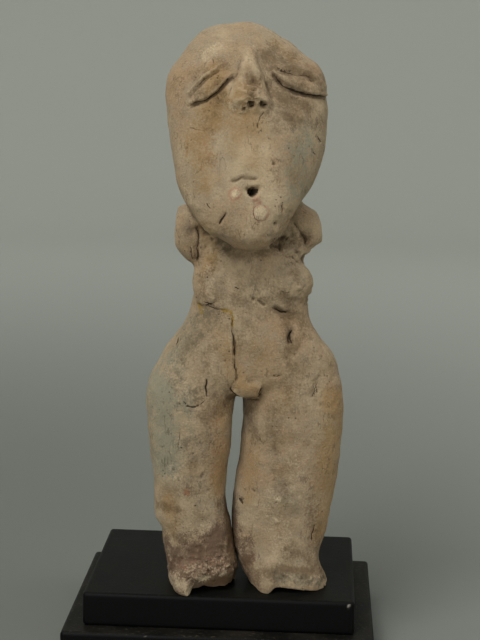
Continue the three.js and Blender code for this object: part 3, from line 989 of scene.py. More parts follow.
# Stains on the side that the photograph shows. Among the soil, soot and chalk stains is painted shade and
# painted light.
STAINS = {
    Pigment.CHALK: (
        Stain(((206, 56), (224, 42)), 4.0, 0.4),
        # Painted highlight on the top of the nose, where it meets the forehead.
        Stain(((247, 56), (257, 72)), 2.0, 0.7),
        # Painted light on the lower face and chin, lifting them out of the shade of the top light.
        Stain(((262, 186), (250, 226)), 7.0, 0.5),
        Stain(((270, 186), (272, 218)), 4.0, 0.5),
        Stain(((173, 580), (190, 590)), 2.4, 0.4),
        # Painted light on the lower face, beside the mouth.
        Stain(((262, 150), (270, 196)), 6.0, 0.7),
        Stain(((246, 150), (232, 186)), 5.5, 0.6),
        # Painted light in the groove left of the nose, lightening its shade.
        Stain(((229, 80), (231, 96)), 1.6, 0.6),
        Stain(((235, 101), (245, 98)), 1.6, 0.5),
        # Painted light over the chin's shadow on the chest.
        Stain(((240, 266), (264, 268)), 4.0, 0.4),
        Stain(((206, 230), (211, 250)), 2.4, 0.5),
        # Painted light on the lower face, over the mouth.
        Stain(((244, 172), (262, 176)), 3.0, 0.6),
        Stain(((212, 172), (216, 194)), 3.0, 0.4),
        Stain(((184, 350), (198, 326)), 2.6, 0.4),
    ),
    Pigment.LIME: (
        Stain(((235, 194),), 1.35, 1.0, 0.5),
        Stain(((260.5, 213),), 1.7, 0.9, 0.4),
        Stain(((208, 268), (211, 298)), 1.5, 0.65, 0.8),
        Stain(((206, 58), (219, 46)), 2.0, 0.7),
        Stain(((296, 460), (300, 495)), 5.0, 0.33),
        Stain(((270, 500), (284, 550)), 5.0, 0.4),
        Stain(((178, 580), (224, 562)), 4.6, 0.33),
        Stain(((196, 532), (206, 526)), 3.0, 0.4),
        Stain(((174, 578), (190, 591)), 2.6, 0.8),
        Stain(((264, 294), (270, 290)), 1.5, 0.5, 0.8),
        Stain(((178, 385), (186, 395)), 3.0, 0.25),
        Stain(((172, 468), (176, 482)), 2.5, 0.4),
        Stain(((231, 105), (242, 109)), 1.3, 0.6),
    ),
    Pigment.PLASTER: (
        Stain(((235, 193.5),), 1.1, 0.65, 0.8),
        Stain(((260.5, 213),), 1.6, 0.35, 0.6),
        Stain(((276, 429),), 0.9, 0.7),
        Stain(((279, 499),), 0.95, 0.8),
        Stain(((276, 521),), 1.0, 0.7),
        Stain(((201, 525),), 0.9, 0.6),
        Stain(((200, 580), (208, 576)), 1.0, 0.9),
        Stain(((220, 575), (226, 572)), 0.7, 0.8),
        Stain(((205, 53), (214, 46)), 0.8, 0.45),
    ),
    Pigment.SOIL: (
        Stain(((209, 583), (230, 579)), 1.4, 1.0, 0.9),
        Stain(((162, 506), (178, 510)), 2.4, 0.8),
        # Painted shadow on the inner left shin, between the legs.
        Stain(((228, 512), (231, 535), (232, 560)), 2.6, 1.0),
        Stain(((219, 504), (228, 528)), 2.6, 0.6),
        Stain(((160, 530), (182, 538)), 2.4, 0.5),
        # Painted shadow under the chin, on the neck and on the chin's underside.
        Stain(((226, 251), (250, 258), (272, 252), (286, 240)), 2.6, 0.6),
        Stain(((236, 243), (262, 242)), 1.8, 0.3),
        Stain(((226, 300), (262, 304)), 8.0, 0.5),
        Stain(((204, 296), (250, 298)), 4.0, 0.4),
        Stain(((284, 296), (304, 334)), 4.0, 0.55),
        Stain(((212, 262), (205, 282)), 3.0, 0.4),
        # Painted shade in the right neck recess under the chin.
        Stain(((276, 242), (284, 237)), 1.1, 1.0, 0.9),
        Stain(((254, 78), (251, 93)), 3.0, 0.75),
        Stain(((248, 100), (264, 101)), 1.8, 0.5),
        # Painted shade under the right breast, along its crease.
        Stain(((276, 308), (290, 318)), 2.2, 0.7),
        Stain(((288, 324), (292, 348)), 3.8, 0.7),
        # Partly brown scrapes, partly painted shade on the right forehead, which turns from the light.
        Stain(((271, 56), (296, 70)), 5.5, 0.75),
        # Painted shade on the shadow side of the nose and right of it.
        Stain(((281, 92), (292, 118)), 5.5, 0.72),
        Stain(((268, 84), (273, 108)), 2.2, 0.5),
        Stain(((298, 66), (318, 78)), 3.0, 0.6),
        Stain(((302, 108), (318, 124)), 4.5, 0.4),
        Stain(((273, 68), (290, 76)), 2.4, 0.8),
        Stain(((277, 75), (292, 86)), 2.4, 0.85),
        # Painted shade under the chin's left edge.
        Stain(((222, 228), (236, 240)), 2.0, 0.4),
        Stain(((304, 73), (318, 82)), 2.4, 0.75),
        Stain(((284, 84), (320, 92)), 2.2, 0.65),
        # Painted shadow beneath the right eye.
        Stain(((284, 100), (306, 107)), 3.2, 0.7),
        Stain(((269, 116), (279, 124)), 3.2, 0.5),
        Stain(((200, 95), (222, 81)), 2.2, 0.6),
        Stain(((196, 74), (222, 64)), 3.8, 0.42),
        Stain(((210, 116), (206, 160)), 5.0, 0.27),
        Stain(((216, 98), (214, 112)), 3.0, 0.35),
        Stain(((224, 298), (204, 322), (186, 356)), 5.5, 0.55),
        Stain(((172, 372), (200, 402)), 4.5, 0.42),
        Stain(((246, 282), (240, 330)), 12.0, 0.32),
        Stain(((206, 340), (206, 400)), 7.0, 0.36),
        Stain(((294, 350), (290, 400)), 7.0, 0.42),
        Stain(((208, 398), (232, 392)), 3.2, 0.6),
        Stain(((204, 416), (222, 406)), 4.0, 0.75),
        Stain(((294, 274), (301, 286)), 2.4, 0.5),
        # Painted shadow of the flap on the inner right thigh.
        Stain(((250, 403), (257, 438)), 3.0, 0.7),
        Stain(((272, 410), (284, 490)), 4.2, 0.42),
        Stain(((160, 504), (186, 512)), 3.2, 0.45),
        Stain(((290, 552), (314, 564)), 4.0, 0.6),
        # Painted shadow in the groove above the right toes.
        Stain(((284, 569), (312, 571)), 2.2, 1.0),
        Stain(((197, 230), (198, 264)), 1.8, 0.5),
        # Partly dark rough clay, partly painted shade in the fold by the right stump.
        Stain(((284, 246), (304, 240)), 3.8, 0.7),
        Stain(((317, 540), (318, 562)), 2.6, 0.5),
        Stain(((313, 500), (312, 545)), 3.5, 0.42),
        Stain(((247, 560), (260, 588)), 3.4, 0.5),
        Stain(((300, 562), (290, 568)), 1.8, 0.5),
        # Partly the dark notch at the seam's end, partly painted shade in the crotch.
        Stain(((234, 394), (228, 398)), 1.6, 0.9),
        Stain(((198, 100), (222, 92)), 1.6, 0.5),
        Stain(((196, 306), (212, 308)), 1.6, 0.6),
        Stain(((316, 380), (312, 396)), 2.4, 0.35),
        Stain(((280, 415), (276, 448)), 1.6, 0.25),
        Stain(((204, 410), (192, 510)), 9.0, 0.36),
        Stain(((254, 574), (322, 574)), 4.6, 0.65),
    ),
    Pigment.ALGAE: (
        Stain(((158, 380), (164, 420), (166, 465)), 6.5, 0.9),
        Stain(((184, 372), (190, 430)), 4.5, 0.5),
        Stain(((204, 316), (186, 340), (166, 372)), 5.5, 0.6),
        Stain(((302, 136), (300, 190)), 6.5, 0.6),
        Stain(((280, 577), (320, 580)), 2.8, 0.7),
    ),
    Pigment.OCHRE: (
        Stain(((185, 491), (188, 493)), 0.9, 1.0, 0.8),
        Stain(((168, 498), (174, 526)), 3.4, 0.7),
        Stain(((206, 108), (200, 150), (204, 180)), 6.0, 0.72),
        Stain(((214, 76), (210, 122)), 5.5, 0.85),
        Stain(((226, 340), (240, 390)), 5.0, 0.5),
        Stain(((240, 100), (250, 160)), 8.0, 0.68),
        Stain(((258, 350), (280, 400)), 7.0, 0.4),
        Stain(((204, 228), (213, 250), (208, 268)), 3.4, 0.85),
        Stain(((240, 388), (256, 391)), 3.0, 0.7),
        Stain(((276, 44), (294, 62)), 3.0, 0.45),
        Stain(((188, 136), (187, 156)), 0.6, 0.7, 0.8),
        Stain(((195, 158), (193, 178)), 0.5, 0.7, 0.8),
        Stain(((208, 178), (210, 190)), 0.5, 0.7, 0.8),
        Stain(((201, 146), (199, 154)), 0.5, 0.6, 0.8),
        Stain(((250, 440), (248, 500)), 4.0, 0.5),
        Stain(((333, 400), (326, 530)), 6.0, 0.75),
        Stain(((224, 405), (217, 490)), 4.0, 0.65),
    ),
    Pigment.ROSE: (
        Stain(((185, 491), (188, 493)), 1.0, 1.0, 0.8),
        Stain(((182, 566), (222, 562)), 4.5, 0.2),
        Stain(ring_path((235, 194), 5.5), 0.5, 0.8, 0.8),
        Stain(((256, 197), (259, 204)), 1.2, 0.8, 0.8),
        Stain(((304, 430), (310, 540)), 6.0, 0.2),
        Stain(((214, 410), (220, 520)), 4.0, 0.2),
        Stain(((250, 556), (262, 588)), 3.6, 0.2),
        Stain(((208, 136), (212, 172)), 4.0, 0.15),
        Stain(ring_path((260.5, 213), 8.0), 0.35, 0.6, 0.8),
    ),
    Pigment.SOOT: (
        Stain(((182, 562), (226, 546)), 8.0, 0.95, 0.75),
        Stain(((178, 580), (228, 568)), 7.5, 1.0, 0.5),
        # Soot, and painted shade on the inner edge of the left shin between the legs.
        Stain(((229, 496), (232, 530), (232, 560)), 2.8, 1.0, 0.9),
        Stain(((161, 541), (171, 576)), 3.4, 0.9, 0.9),
        Stain(((214, 531), (231, 522)), 3.2, 0.8),
        Stain(((240, 534), (248, 566)), 4.2, 0.6),
    ),
    Pigment.GLUE: (
        Stain(((222, 309), (231, 312), (233, 326)), 0.6, 0.9, 0.8),
        Stain(((199, 304), (202, 312)), 0.9, 0.6, 0.8),
    ),
}


@dataclass(frozen=True)
class Grain:
    """Patches or specks: 1 where a noise is above high, and 0 where it is below low.

    Its features are size mm, and squeeze, along X, Y and Z, draws them out where it is less than 1.
    """

    size: float
    low: float
    high: float
    detail: float = NOISE_DETAIL
    squeeze: Point | None = None


@dataclass(frozen=True)
class Layer:
    """A colour over the bare clay, where its grain is, at a strength from 0 to 1."""

    name: str
    grain: Grain
    strength: float
    colour: str


class Dressing:
    """A material under way: its node tree, its shader, and the place that its patterns are read at."""

    def __init__(self, name: str, constants: dict[str, float]) -> None:
        """Starts a material.

        Args:
            name: the real material's name.
            constants: numbers for its shader's sockets.
        """
        self.material = bpy.data.materials.new(name)
        self.material.use_nodes = True
        self.tree = self.material.node_tree
        self.shader = self.tree.nodes["Principled BSDF"]
        for socket, value in constants.items():
            self.shader.inputs[socket].default_value = value
        self.place = self.add(Node.PLACE)

    def add(self, node: Node, *values: SocketValue, **settings: str) -> Socket:
        """Adds a node.

        Args:
            node: its kind.
            values: numbers, colours or other nodes' outputs, for its inputs in order.
            settings: further properties of the node.

        Returns:
            Its output.
        """
        kind, inputs, output, always = node.value
        made = self.tree.nodes.new(kind)
        for name, value in (always | settings).items():
            setattr(made, name, value)
        for name, value in zip(inputs, values):
            if isinstance(value, Socket):
                self.tree.links.new(value, made.inputs[name])
            else:
                made.inputs[name].default_value = value
        return made.outputs[output]

    def grain(self, grain: Grain) -> Socket:
        """Where a grain lies, from 0 to 1.

        Args:
            grain: the pattern.

        Returns:
            A smooth step on the grain's noise.
        """
        place = self.place if grain.squeeze is None else self.add(Node.STRETCH, self.place, grain.squeeze)
        noise = self.add(Node.NOISE, place, per_mm(grain.size), grain.detail, NOISE_ROUGHNESS)
        return self.add(Node.STEP, noise, grain.low, grain.high)

    def lay(self, colour: Socket, mask: Socket, strength: float, above: str) -> Socket:
        """The colour with another laid over it where the mask is, at a strength from 0 to 1."""
        return self.add(Node.MIX, self.add(Node.TIMES, mask, strength), colour, linear(above))

    def finish(self, outputs: dict[str, Socket]) -> bpy.types.Material:
        """Ends a material.

        Args:
            outputs: what goes to the shader's sockets.

        Returns:
            The material.
        """
        for socket, output in outputs.items():
            self.tree.links.new(output, self.shader.inputs[socket])
        return self.material


@dataclass(frozen=True)
class PigmentFinish:
    """How a pigment looks: its colour, how much it covers, and how patchy and specky it is.

    Patch and speck are the sizes of its break-up in mm; patchy and specky are how far each eats into it.
    """

    pigment: Pigment
    colour: str
    cover: float
    patch: float = 3.0
    patchy: float = 0.5
    speck: float = 0.5
    specky: float = 0.5
    broken: Span = (0.3, 0.7)
    patch_detail: float = 4.0
    edge: Span = (0.05, 0.95)
    held: Span = (0.0, 0.25)

    def mask(self, clay: Dressing) -> Socket:
        """Where the pigment shows: its share on the mesh, raised and lowered by its grain about the middle.

        Args:
            clay: the material under way.

        Returns:
            A mask from 0 to 1, which is 0 where the mesh keeps none of it.
        """
        kept = clay.add(Node.KEPT, attribute_name=self.pigment.value)
        patch = clay.grain(Grain(self.patch, *self.broken, self.patch_detail))
        speck = clay.grain(Grain(self.speck, *self.broken))
        amount = clay.add(Node.MINUS, kept, (self.patchy + self.specky) / 2)
        amount = clay.add(Node.TIMES_PLUS, patch, self.patchy, amount)
        amount = clay.add(Node.TIMES_PLUS, speck, self.specky, amount)
        shown = clay.add(Node.STEP, amount, *self.edge)
        return clay.add(Node.TIMES, shown, clay.add(Node.STEP, kept, *self.held))


@dataclass(frozen=True)
class FiredClay:
    """Low-fired buff clay, smoothed by hand and long buried: dead matt, sandy, mottled from tan to grey.

    The eye gets a dry chalky surface with fine grit, pinholes and rubbed highs, and dirt in every hollow.
    Sizes, heights and depths are in mm, shares go from 0 to 1, and a Span is where a mask rises to 1.
    """

    name: str = "low_fired_clay_hand_smoothed"
    buff: str = "ab997d"
    tan: str = "a1886a"
    dirt: str = "4a3a29"
    rubbed: str = "c4b08f"
    crevice: str = "231a12"
    roughness: float = 0.93
    specular: float = 0.18
    dry: float = 0.4
    mottle: Grain = Grain(14.0, 0.35, 0.65)
    layers: tuple[Layer, ...] = (
        Layer("grey clouds", Grain(3.5, 0.42, 0.66, 5.0), 0.5, "998e79"),
        Layer("smudges", Grain(5.5, 0.52, 0.72, 8.0), 0.42, "7d684b"),
        Layer("rubbed patches", Grain(4.2, 0.55, 0.75, 8.0), 0.3, "c4b08f"),
        Layer("wipe marks", Grain(0.9, 0.35, 0.7, 5.0, (1, 1, 0.16)), 0.13, "7d684b"),
        Layer("light specks", Grain(0.38, 0.6, 0.72, 2.0), 0.45, "c4b08f"),
        Layer("dark specks", Grain(0.55, 0.62, 0.74, 2.0), 0.42, "7d684b"),
    )
    grit: Grain = Grain(0.45, 0.25, 0.8)
    grit_dark: tuple[float, ...] = (0.85, 0.845, 0.84, 1.0)
    grit_light: tuple[float, ...] = (1.09, 1.09, 1.09, 1.0)
    pigments: tuple[PigmentFinish, ...] = (
        PigmentFinish(Pigment.ALGAE, "83826f", 0.75),
        PigmentFinish(Pigment.OCHRE, "937346", 0.65, patch=5.0, patchy=0.35, specky=0.35),
        # Soot, which at the inner edge of the left shin also serves as painted shade between the legs.
        PigmentFinish(Pigment.SOOT, "5c4739", 0.85, patch=3.2, patchy=0.8, speck=0.35, specky=0.6),
        PigmentFinish(Pigment.LIME, "bdaa8d", 0.65, patch=1.6, speck=0.4, specky=0.8),
        # Pale chalk, which also serves as painted light on the lower face and chest and as a painted
        # highlight on the nose.
        PigmentFinish(Pigment.CHALK, "bfac8e", 0.7, patch=4.0, patchy=0.3, specky=0.2),
        PigmentFinish(Pigment.ROSE, "a5705a", 0.55, patch=1.0),
        # Dark soil, which also serves as painted shade under the chin, beside the nose, in folds and
        # between the legs.
        PigmentFinish(Pigment.SOIL, "5a4630", 0.75, patchy=0.4, specky=0.3),
        PigmentFinish(Pigment.GLUE, "93762c", 0.75, patch=1.0),
        PigmentFinish(Pigment.PLASTER, "cfbc9b", 0.75, patch=1.0, patchy=0.4, speck=0.4),
    )
    crack_waver: float = 0.8
    crack_wander: float = 0.3
    crack_edge: Span = (1.25, 0.55)
    crack_shows: Span = (0.02, 0.08)
    dust: float = 1.6
    dust_detail: float = 4.0
    in_hollow: Span = (0.05, 0.5)
    on_high: Span = (0.1, 0.6)
    rubbed_share: float = 0.45
    dirt_share: float = 0.75
    crack_share: float = 0.85
    pinhole: float = 1.3
    pinhole_share: float = 0.85
    fine_hole: float = 0.75
    fine_hole_share: float = 0.65
    hole_edge: Span = (0.2, 0.08)
    hole_patches: Grain = Grain(4.6, 0.48, 0.68)
    scratch: float = 2.4
    scratch_share: float = 0.45
    scratch_squeeze: Point = (1, 1, 0.35)
    scratch_edge: Span = (0.03, 0.005)
    scratch_patches: Grain = Grain(4.5, 0.5, 0.64)
    pit: float = 1.5
    pit_detail: float = 8.0
    grit_height: float = 0.2
    pit_height: float = 0.26
    hole_depth: float = 0.16
    crack_depth: float = 0.18

    def build(self) -> bpy.types.Material:
        """Makes the material: clay colours, stains, painted shade and painted light over them, dirt and
        cracks, and a grained surface.

        Returns:
            The material.
        """
        clay = Dressing(self.name, {
            "Roughness": self.roughness, "Specular IOR Level": self.specular, "Diffuse Roughness": self.dry,
        })
        colour = self.clay_colour(clay)
        for finish in self.pigments:
            colour = clay.lay(colour, finish.mask(clay), finish.cover, finish.colour)
        crack = self.cracks(clay)
        colour = self.worn(clay, colour, crack)
        return clay.finish({"Base Color": colour, "Normal": self.surface(clay, crack)})

    def clay_colour(self, clay: Dressing) -> Socket:
        """Buff clay, clouded with tan and grey, smudged and rubbed, with wipe marks, grit and fine specks.

        Args:
            clay: the material under way.

        Returns:
            The bare clay's colour.
        """
        colour = clay.add(Node.MIX, clay.grain(self.mottle), linear(self.buff), linear(self.tan))
        for layer in self.layers:
            colour = clay.lay(colour, clay.grain(layer.grain), layer.strength, layer.colour)
        shade = clay.add(Node.MIX, clay.grain(self.grit), self.grit_dark, self.grit_light)
        return clay.add(Node.TINT, 1.0, colour, shade)

    def cracks(self, clay: Dressing) -> Socket:
        """1 inside a crack: nearer to its middle than its half width, with a ragged edge.

        Args:
            clay: the material under way.

        Returns:
            The mask.
        """
        noise = clay.add(Node.NOISE, clay.place, per_mm(self.crack_waver), NOISE_DETAIL, NOISE_ROUGHNESS)
        waver = clay.add(Node.MINUS, noise, NOISE_MIDDLE)
        side = clay.add(Node.KEPT, attribute_name="crack_side")
        away = clay.add(Node.UNSIGNED, clay.add(Node.TIMES_PLUS, waver, self.crack_wander, side))
        width = clay.add(Node.KEPT, attribute_name="crack_width")
        near = clay.add(Node.STEP, away, *[clay.add(Node.TIMES, width, share) for share in self.crack_edge])
        return clay.add(Node.TIMES, near, clay.add(Node.STEP, width, *self.crack_shows))

    def worn(self, clay: Dressing, colour: Socket, crack: Socket) -> Socket:
        """Rubbed highs, then dirt in the hollows, pinholes, scratches and cracks.

        Args:
            clay: the material under way.
            colour: the stained clay.
            crack: the mask of the cracks.

        Returns:
            The worn colour.
        """
        dust = clay.add(Node.NOISE, clay.place, per_mm(self.dust), self.dust_detail, NOISE_ROUGHNESS)
        hollow, high = [
            clay.add(Node.STEP, clay.add(Node.TIMES, clay.add(Node.KEPT, attribute_name=name), dust), *step)
            for name, step in (("hollow", self.in_hollow), ("high", self.on_high))
        ]
        for mask, strength, above in (
            (high, self.rubbed_share, self.rubbed),
            (hollow, self.dirt_share, self.dirt),
            (self.pinholes(clay, self.pinhole), self.pinhole_share, self.dirt),
            (self.pinholes(clay, self.fine_hole), self.fine_hole_share, self.dirt),
            (self.scratches(clay), self.scratch_share, self.dirt),
            (crack, self.crack_share, self.crevice),
        ):
            colour = clay.lay(colour, mask, strength, above)
        return colour

    def scratches(self, clay: Dressing) -> Socket:
        """1 along fine wavering scratches, mostly upright, in patches: a stretched noise near its middle.

        Args:
            clay: the material under way.

        Returns:
            The mask.
        """
        upright = clay.add(Node.STRETCH, clay.place, self.scratch_squeeze)
        noise = clay.add(Node.NOISE, upright, per_mm(self.scratch), NOISE_DETAIL, NOISE_ROUGHNESS)
        away = clay.add(Node.UNSIGNED, clay.add(Node.MINUS, noise, NOISE_MIDDLE))
        near = clay.add(Node.STEP, away, *self.scratch_edge)
        return clay.add(Node.TIMES, near, clay.grain(self.scratch_patches))

    def pinholes(self, clay: Dressing, size: float) -> Socket:
        """1 in small scattered pits where grit fell out, in patches.

        Args:
            clay: the material under way.
            size: how far apart the pits are, in mm.

        Returns:
            The mask.
        """
        spots = clay.add(Node.CELLS, clay.place, per_mm(size), 1.0)
        patches = clay.grain(replace(self.hole_patches, size=self.hole_patches.size * size))
        return clay.add(Node.TIMES, clay.add(Node.STEP, spots, *self.hole_edge), patches)

    def surface(self, clay: Dressing, crack: Socket) -> Socket:
        """The bumped normal: grit, soft pitting, pinholes and sharp cracks, as heights in mm.

        Args:
            clay: the material under way.
            crack: the mask of the cracks.

        Returns:
            The normal.
        """
        grit = clay.add(Node.NOISE, clay.place, per_mm(self.grit.size), self.grit.detail, NOISE_ROUGHNESS)
        pitting = clay.add(Node.NOISE, clay.place, per_mm(self.pit), self.pit_detail, NOISE_ROUGHNESS)
        height = clay.add(Node.TIMES, grit, self.grit_height)
        height = clay.add(Node.TIMES_PLUS, pitting, self.pit_height, height)
        height = clay.add(Node.TIMES_PLUS, self.pinholes(clay, self.pinhole), -self.hole_depth, height)
        height = clay.add(Node.TIMES_PLUS, crack, -self.crack_depth, height)
        return clay.add(Node.BUMP, height, MM, 1.0)


@dataclass(frozen=True)
class BlackLacquer:
    """Black lacquer sprayed on wood and rubbed to a satin: near black, with a soft sheen and a little dust.

    The eye gets dark flat faces, dull lights along the eased edges, and pale chips where the coat is lost.
    Flecks and a film are dust, with sizes in mm. Roughness and the film's share vary between two values.
    """

    name: str = "black_satin_lacquer_on_wood"
    black: str = "0d0e0d"
    dust: str = "6b6152"
    chip: str = "8f897e"
    specular: float = 0.06
    roughness: Span = (0.36, 0.54)
    fleck: float = 0.7
    fleck_detail: float = 5.0
    fleck_edge: Span = (0.56, 0.74)
    fleck_share: float = 0.5
    film: float = 9.0
    film_detail: float = 3.0
    film_edge: Span = (0.35, 0.75)
    film_share: Span = (0.02, 0.16)
    peel: float = 1.2
    peel_detail: float = 2.0
    peel_height: float = 0.02

    def build(self) -> bpy.types.Material:
        """Makes the material: black coat with orange peel, dust that lies on top, and bare chips.

        Returns:
            The material.
        """
        coat = Dressing(self.name, {"Specular IOR Level": self.specular})
        flecks = coat.add(Node.NOISE, coat.place, per_mm(self.fleck), self.fleck_detail)
        patches = coat.add(Node.NOISE, coat.place, per_mm(self.film), self.film_detail)
        peel = coat.add(Node.NOISE, coat.place, per_mm(self.peel), self.peel_detail)
        lying, bare = [coat.add(Node.KEPT, attribute_name=name) for name in ("dust", "chip")]
        film = coat.add(Node.STEP, patches, *self.film_edge, *self.film_share)
        specks = coat.add(Node.STEP, flecks, *self.fleck_edge)
        dusty = coat.add(Node.TIMES, coat.add(Node.TIMES_PLUS, specks, self.fleck_share, film), lying)
        colour = coat.add(Node.MIX, dusty, linear(self.black), linear(self.dust))
        return coat.finish({
            "Base Color": coat.add(Node.MIX, bare, colour, linear(self.chip)),
            "Roughness": coat.add(Node.RANGE, patches, 0.0, 1.0, *self.roughness),
            "Normal": coat.add(Node.BUMP, peel, self.peel_height * MM, 1.0),
        })


@dataclass
class Figurine:
    """The fired-clay figurine: its rolls and lumps of clay, the marks on them, how they are stained and
    where shade and light are painted on.

    Lengths are in mm, in its own axes, and a Span is where something eases from nothing to all of it.
    """

    camera: PhotoCamera
    place: Point = (5.0, -10.6, 16.9)
    turn: float = 10.0
    voxel: float = 0.7
    blend_rounds: int = 18
    refine_above: float = 0.3
    dirt_rounds: int = 14
    legs_held: float = 1.5
    foot_squeezed: float = 9.0
    between_legs: float = -2.4
    left_break: float = 16.4
    right_break: float = 15.4
    head: Limb = Limb((
        (79.6, -1.8, -9.6, 2.6, 3.2, 2.4, 2.0),
        (81.0, -1.9, -8.8, 5.6, 6.5, 5.0, 2.1),
        (84.0, -2.9, -7.9, 8.8, 8.4, 7.0, 2.4),
        (87.0, -3.1, -7.0, 10.8, 9.5, 8.2, 2.4),
        (89.0, -2.9, -6.5, 12.5, 9.9, 8.9, 2.4),
        (91.5, -2.1, -5.8, 14.5, 10.3, 9.7, 2.2),
        (94.0, -1.8, -5.2, 15.6, 10.6, 10.3, 2.2),
        (99.3, -1.2, -3.9, 17.0, 11.2, 11.3, 2.2),
        (104.5, -1.1, -2.6, 17.6, 11.3, 11.8, 2.2),
        (109.6, -1.3, -1.3, 18.1, 11.5, 12.0, 2.2),
        (112.2, -1.6, -0.7, 18.1, 11.4, 11.9, 2.2),
        (115.0, -1.5, 0.1, 17.9, 11.0, 11.5, 2.3),
        (117.5, -1.3, 0.7, 17.2, 10.5, 10.9, 2.3),
        (120.0, -0.9, 1.3, 15.6, 9.6, 10.0, 2.2),
        (122.7, -1.6, 2.0, 12.9, 8.2, 8.5, 2.2),
        (125.0, -1.9, 2.6, 10.4, 6.1, 6.3, 2.2),
        (126.5, -2.4, 3.1, 8.0, 4.4, 4.7, 2.2),
        (127.4, -2.4, 3.3, 4.8, 2.4, 2.6, 2.2),
    ), step=0.6, sides=120)
    left_leg: Limb = Limb((
        (-1.2, -9.6, -1.2, 7.6, 9.8, 8.2),
        (0, -9.6, -1.2, 7.6, 9.8, 8.2),
        (4, -9.8, -1.0, 7.9, 9.2, 8.6),
        (9, -10.7, -0.4, 8.0, 8.4, 8.4),
        (13, -11.4, 0, 8.3, 8.4, 8.9),
        (15.2, -12.2, 0, 8.8, 8.5, 9.1),
        (18, -12.7, 0.2, 8.4, 8.7, 9.4),
        (24, -13.1, 0.2, 8.1, 9.0, 9.2),
        (32, -12.9, 0.3, 9.3, 9.8, 10.4),
        (40, -13.1, 0.5, 9.8, 10.4, 11.6),
        (47, -12.6, 0.8, 10.1, 10.4, 12.2),
        (54, -10.8, 1.0, 8.2, 9.4, 10.8),
        (57.5, -9.6, 1.0, 6.9, 8.2, 9.4),
        (61, -8.0, 1.0, 6.0, 7.0, 8.0),
        (66, -7.0, 1.0, 3.0, 4.0, 4.0),
    ))
    right_leg: Limb = Limb((
        (-0.6, 10.2, -1.0, 9.0, 9.8, 8.4),
        (0, 10.2, -1.0, 9.0, 9.8, 8.4),
        (3.5, 8.6, -0.8, 9.3, 9.2, 8.8),
        (8, 7.9, -0.2, 10.1, 8.4, 8.6),
        (13, 8.2, 0, 11.0, 8.4, 9.0),
        (20, 8.9, 0.2, 11.5, 9.2, 9.6),
        (28, 10.1, 0.2, 11.6, 10.0, 10.2),
        (38, 10.8, 0.5, 11.5, 10.6, 11.6),
        (47, 10.8, 0.8, 11.2, 10.4, 12.2),
        (54, 10.4, 1.0, 9.4, 9.4, 10.8),
        (57.5, 9.6, 1.0, 7.2, 8.2, 9.4),
        (61, 8.2, 1.0, 6.3, 7.0, 8.0),
        (66, 7.0, 1.0, 3.0, 4.0, 4.0),
    ))
    torso: Limb = Limb((
        (45.4, -0.6, 1.0, 15.0, 7.6, 5.0, 3.6),
        (48, -0.5, 1.0, 19.0, 9.8, 7.0, 3.8),
        (52, 0, 1.0, 19.4, 10.4, 9.2, 3.8),
        (57, 0.2, 1.0, 16.8, 10.5, 9.8, 3.4),
        (62, -0.1, 0.7, 13.8, 9.7, 9.2, 2.9),
        (67, 0.3, 0.6, 12.9, 8.9, 8.6, 2.6),
        (72, 0.3, 0.6, 12.7, 8.4, 8.6, 2.5),
        (77, -0.3, 0.9, 12.4, 7.6, 8.4, 2.5),
        (83, -0.8, 1.0, 11.8, 6.6, 8.2, 2.4),
        (90, -1.2, 0.6, 10.0, 6.0, 7.4, 2.2),
        (97, -1.2, 0.4, 8.6, 5.0, 6.2, 2.0),
        (104, -1.2, 0.4, 6.0, 4.0, 4.0, 2.0),
    ))
    left_stump: Limb = Limb((
        (73.5, -11.6, 0.4, 1.0, 2.0, 2.0),
        (76, -12.2, 0.4, 2.5, 4.4, 4.0),
        (80, -13.4, 0.6, 3.8, 5.4, 5.0),
        (84, -13.8, 0.8, 4.2, 5.4, 5.2),
        (86.2, -13.9, 1.0, 3.4, 4.4, 4.2),
        (87.8, -14.0, 1.0, 1.0, 1.6, 1.6),
    ), square=2.4)
    right_stump: Limb = Limb((
        (75, 10.4, 0.4, 1.0, 2.0, 2.0),
        (77.5, 10.8, 0.4, 2.8, 4.4, 4.0),
        (80.5, 11.8, 0.6, 5.1, 5.4, 5.2),
        (83.5, 11.8, 0.8, 5.1, 5.6, 5.4),
        (86.5, 11.4, 1.0, 4.2, 4.8, 4.6),
        (89, 10.6, 1.0, 1.2, 1.8, 1.8),
    ), square=2.4)
    flap: Limb = Limb((
        (46.2, -1.4, -6.2, 3.2, 2.8, 3.0),
        (50, -1.4, -6.2, 3.3, 2.9, 3.0),
        (54.5, -1.4, -6.0, 3.0, 2.2, 3.0),
    ), square=5.0)
    breasts: tuple[Lump, ...] = (
        Lump((-7.6, -2.8, 70.6), (5.6, 4.6, 8.2), -4),
        Lump((8.5, -3.4, 71.0), (5.6, 5.1, 4.9)),
    )
    toes: tuple[Lump, ...] = (
        Lump((-13.4, -6.2, 2.0), (3.8, 5.4, 6.5)),
        Lump((4.7, -6.2, 2.0), (2.9, 5.2, 6.5)),
    )
    legs_eased: Span = (26.0, 46.0)
    refine_rounds: int = 3
    hand_waves: tuple[Waviness, ...] = (Waviness(8.0, 0.3, 3), Waviness(2.6, 0.09, 11))
    rough_patches: Waviness = Waviness(9.0, 1.0, 21)
    rough_edge: Span = (-0.1, 0.6)
    rough_grain: Waviness = Waviness(1.1, 0.07, 31)
    stump_foot: Span = (74.0, 80.0)
    stump_top: Span = (88.0, 90.0)
    break_lean_back: float = 0.12
    break_lean_up: float = 0.04
    break_middle: float = 81.0
    break_edge: Span = (-0.6, 1.2)
    break_press: float = 0.8
    break_chips: Waviness = Waviness(2.2, 0.35, 83)
    sole_ragged: Waviness = Waviness(2.4, 0.3, 41)
    sole_wander: Waviness = Waviness(3.0, 1.0, 43)
    full_hollow: float = 0.35
    least_sunk: float = 0.3
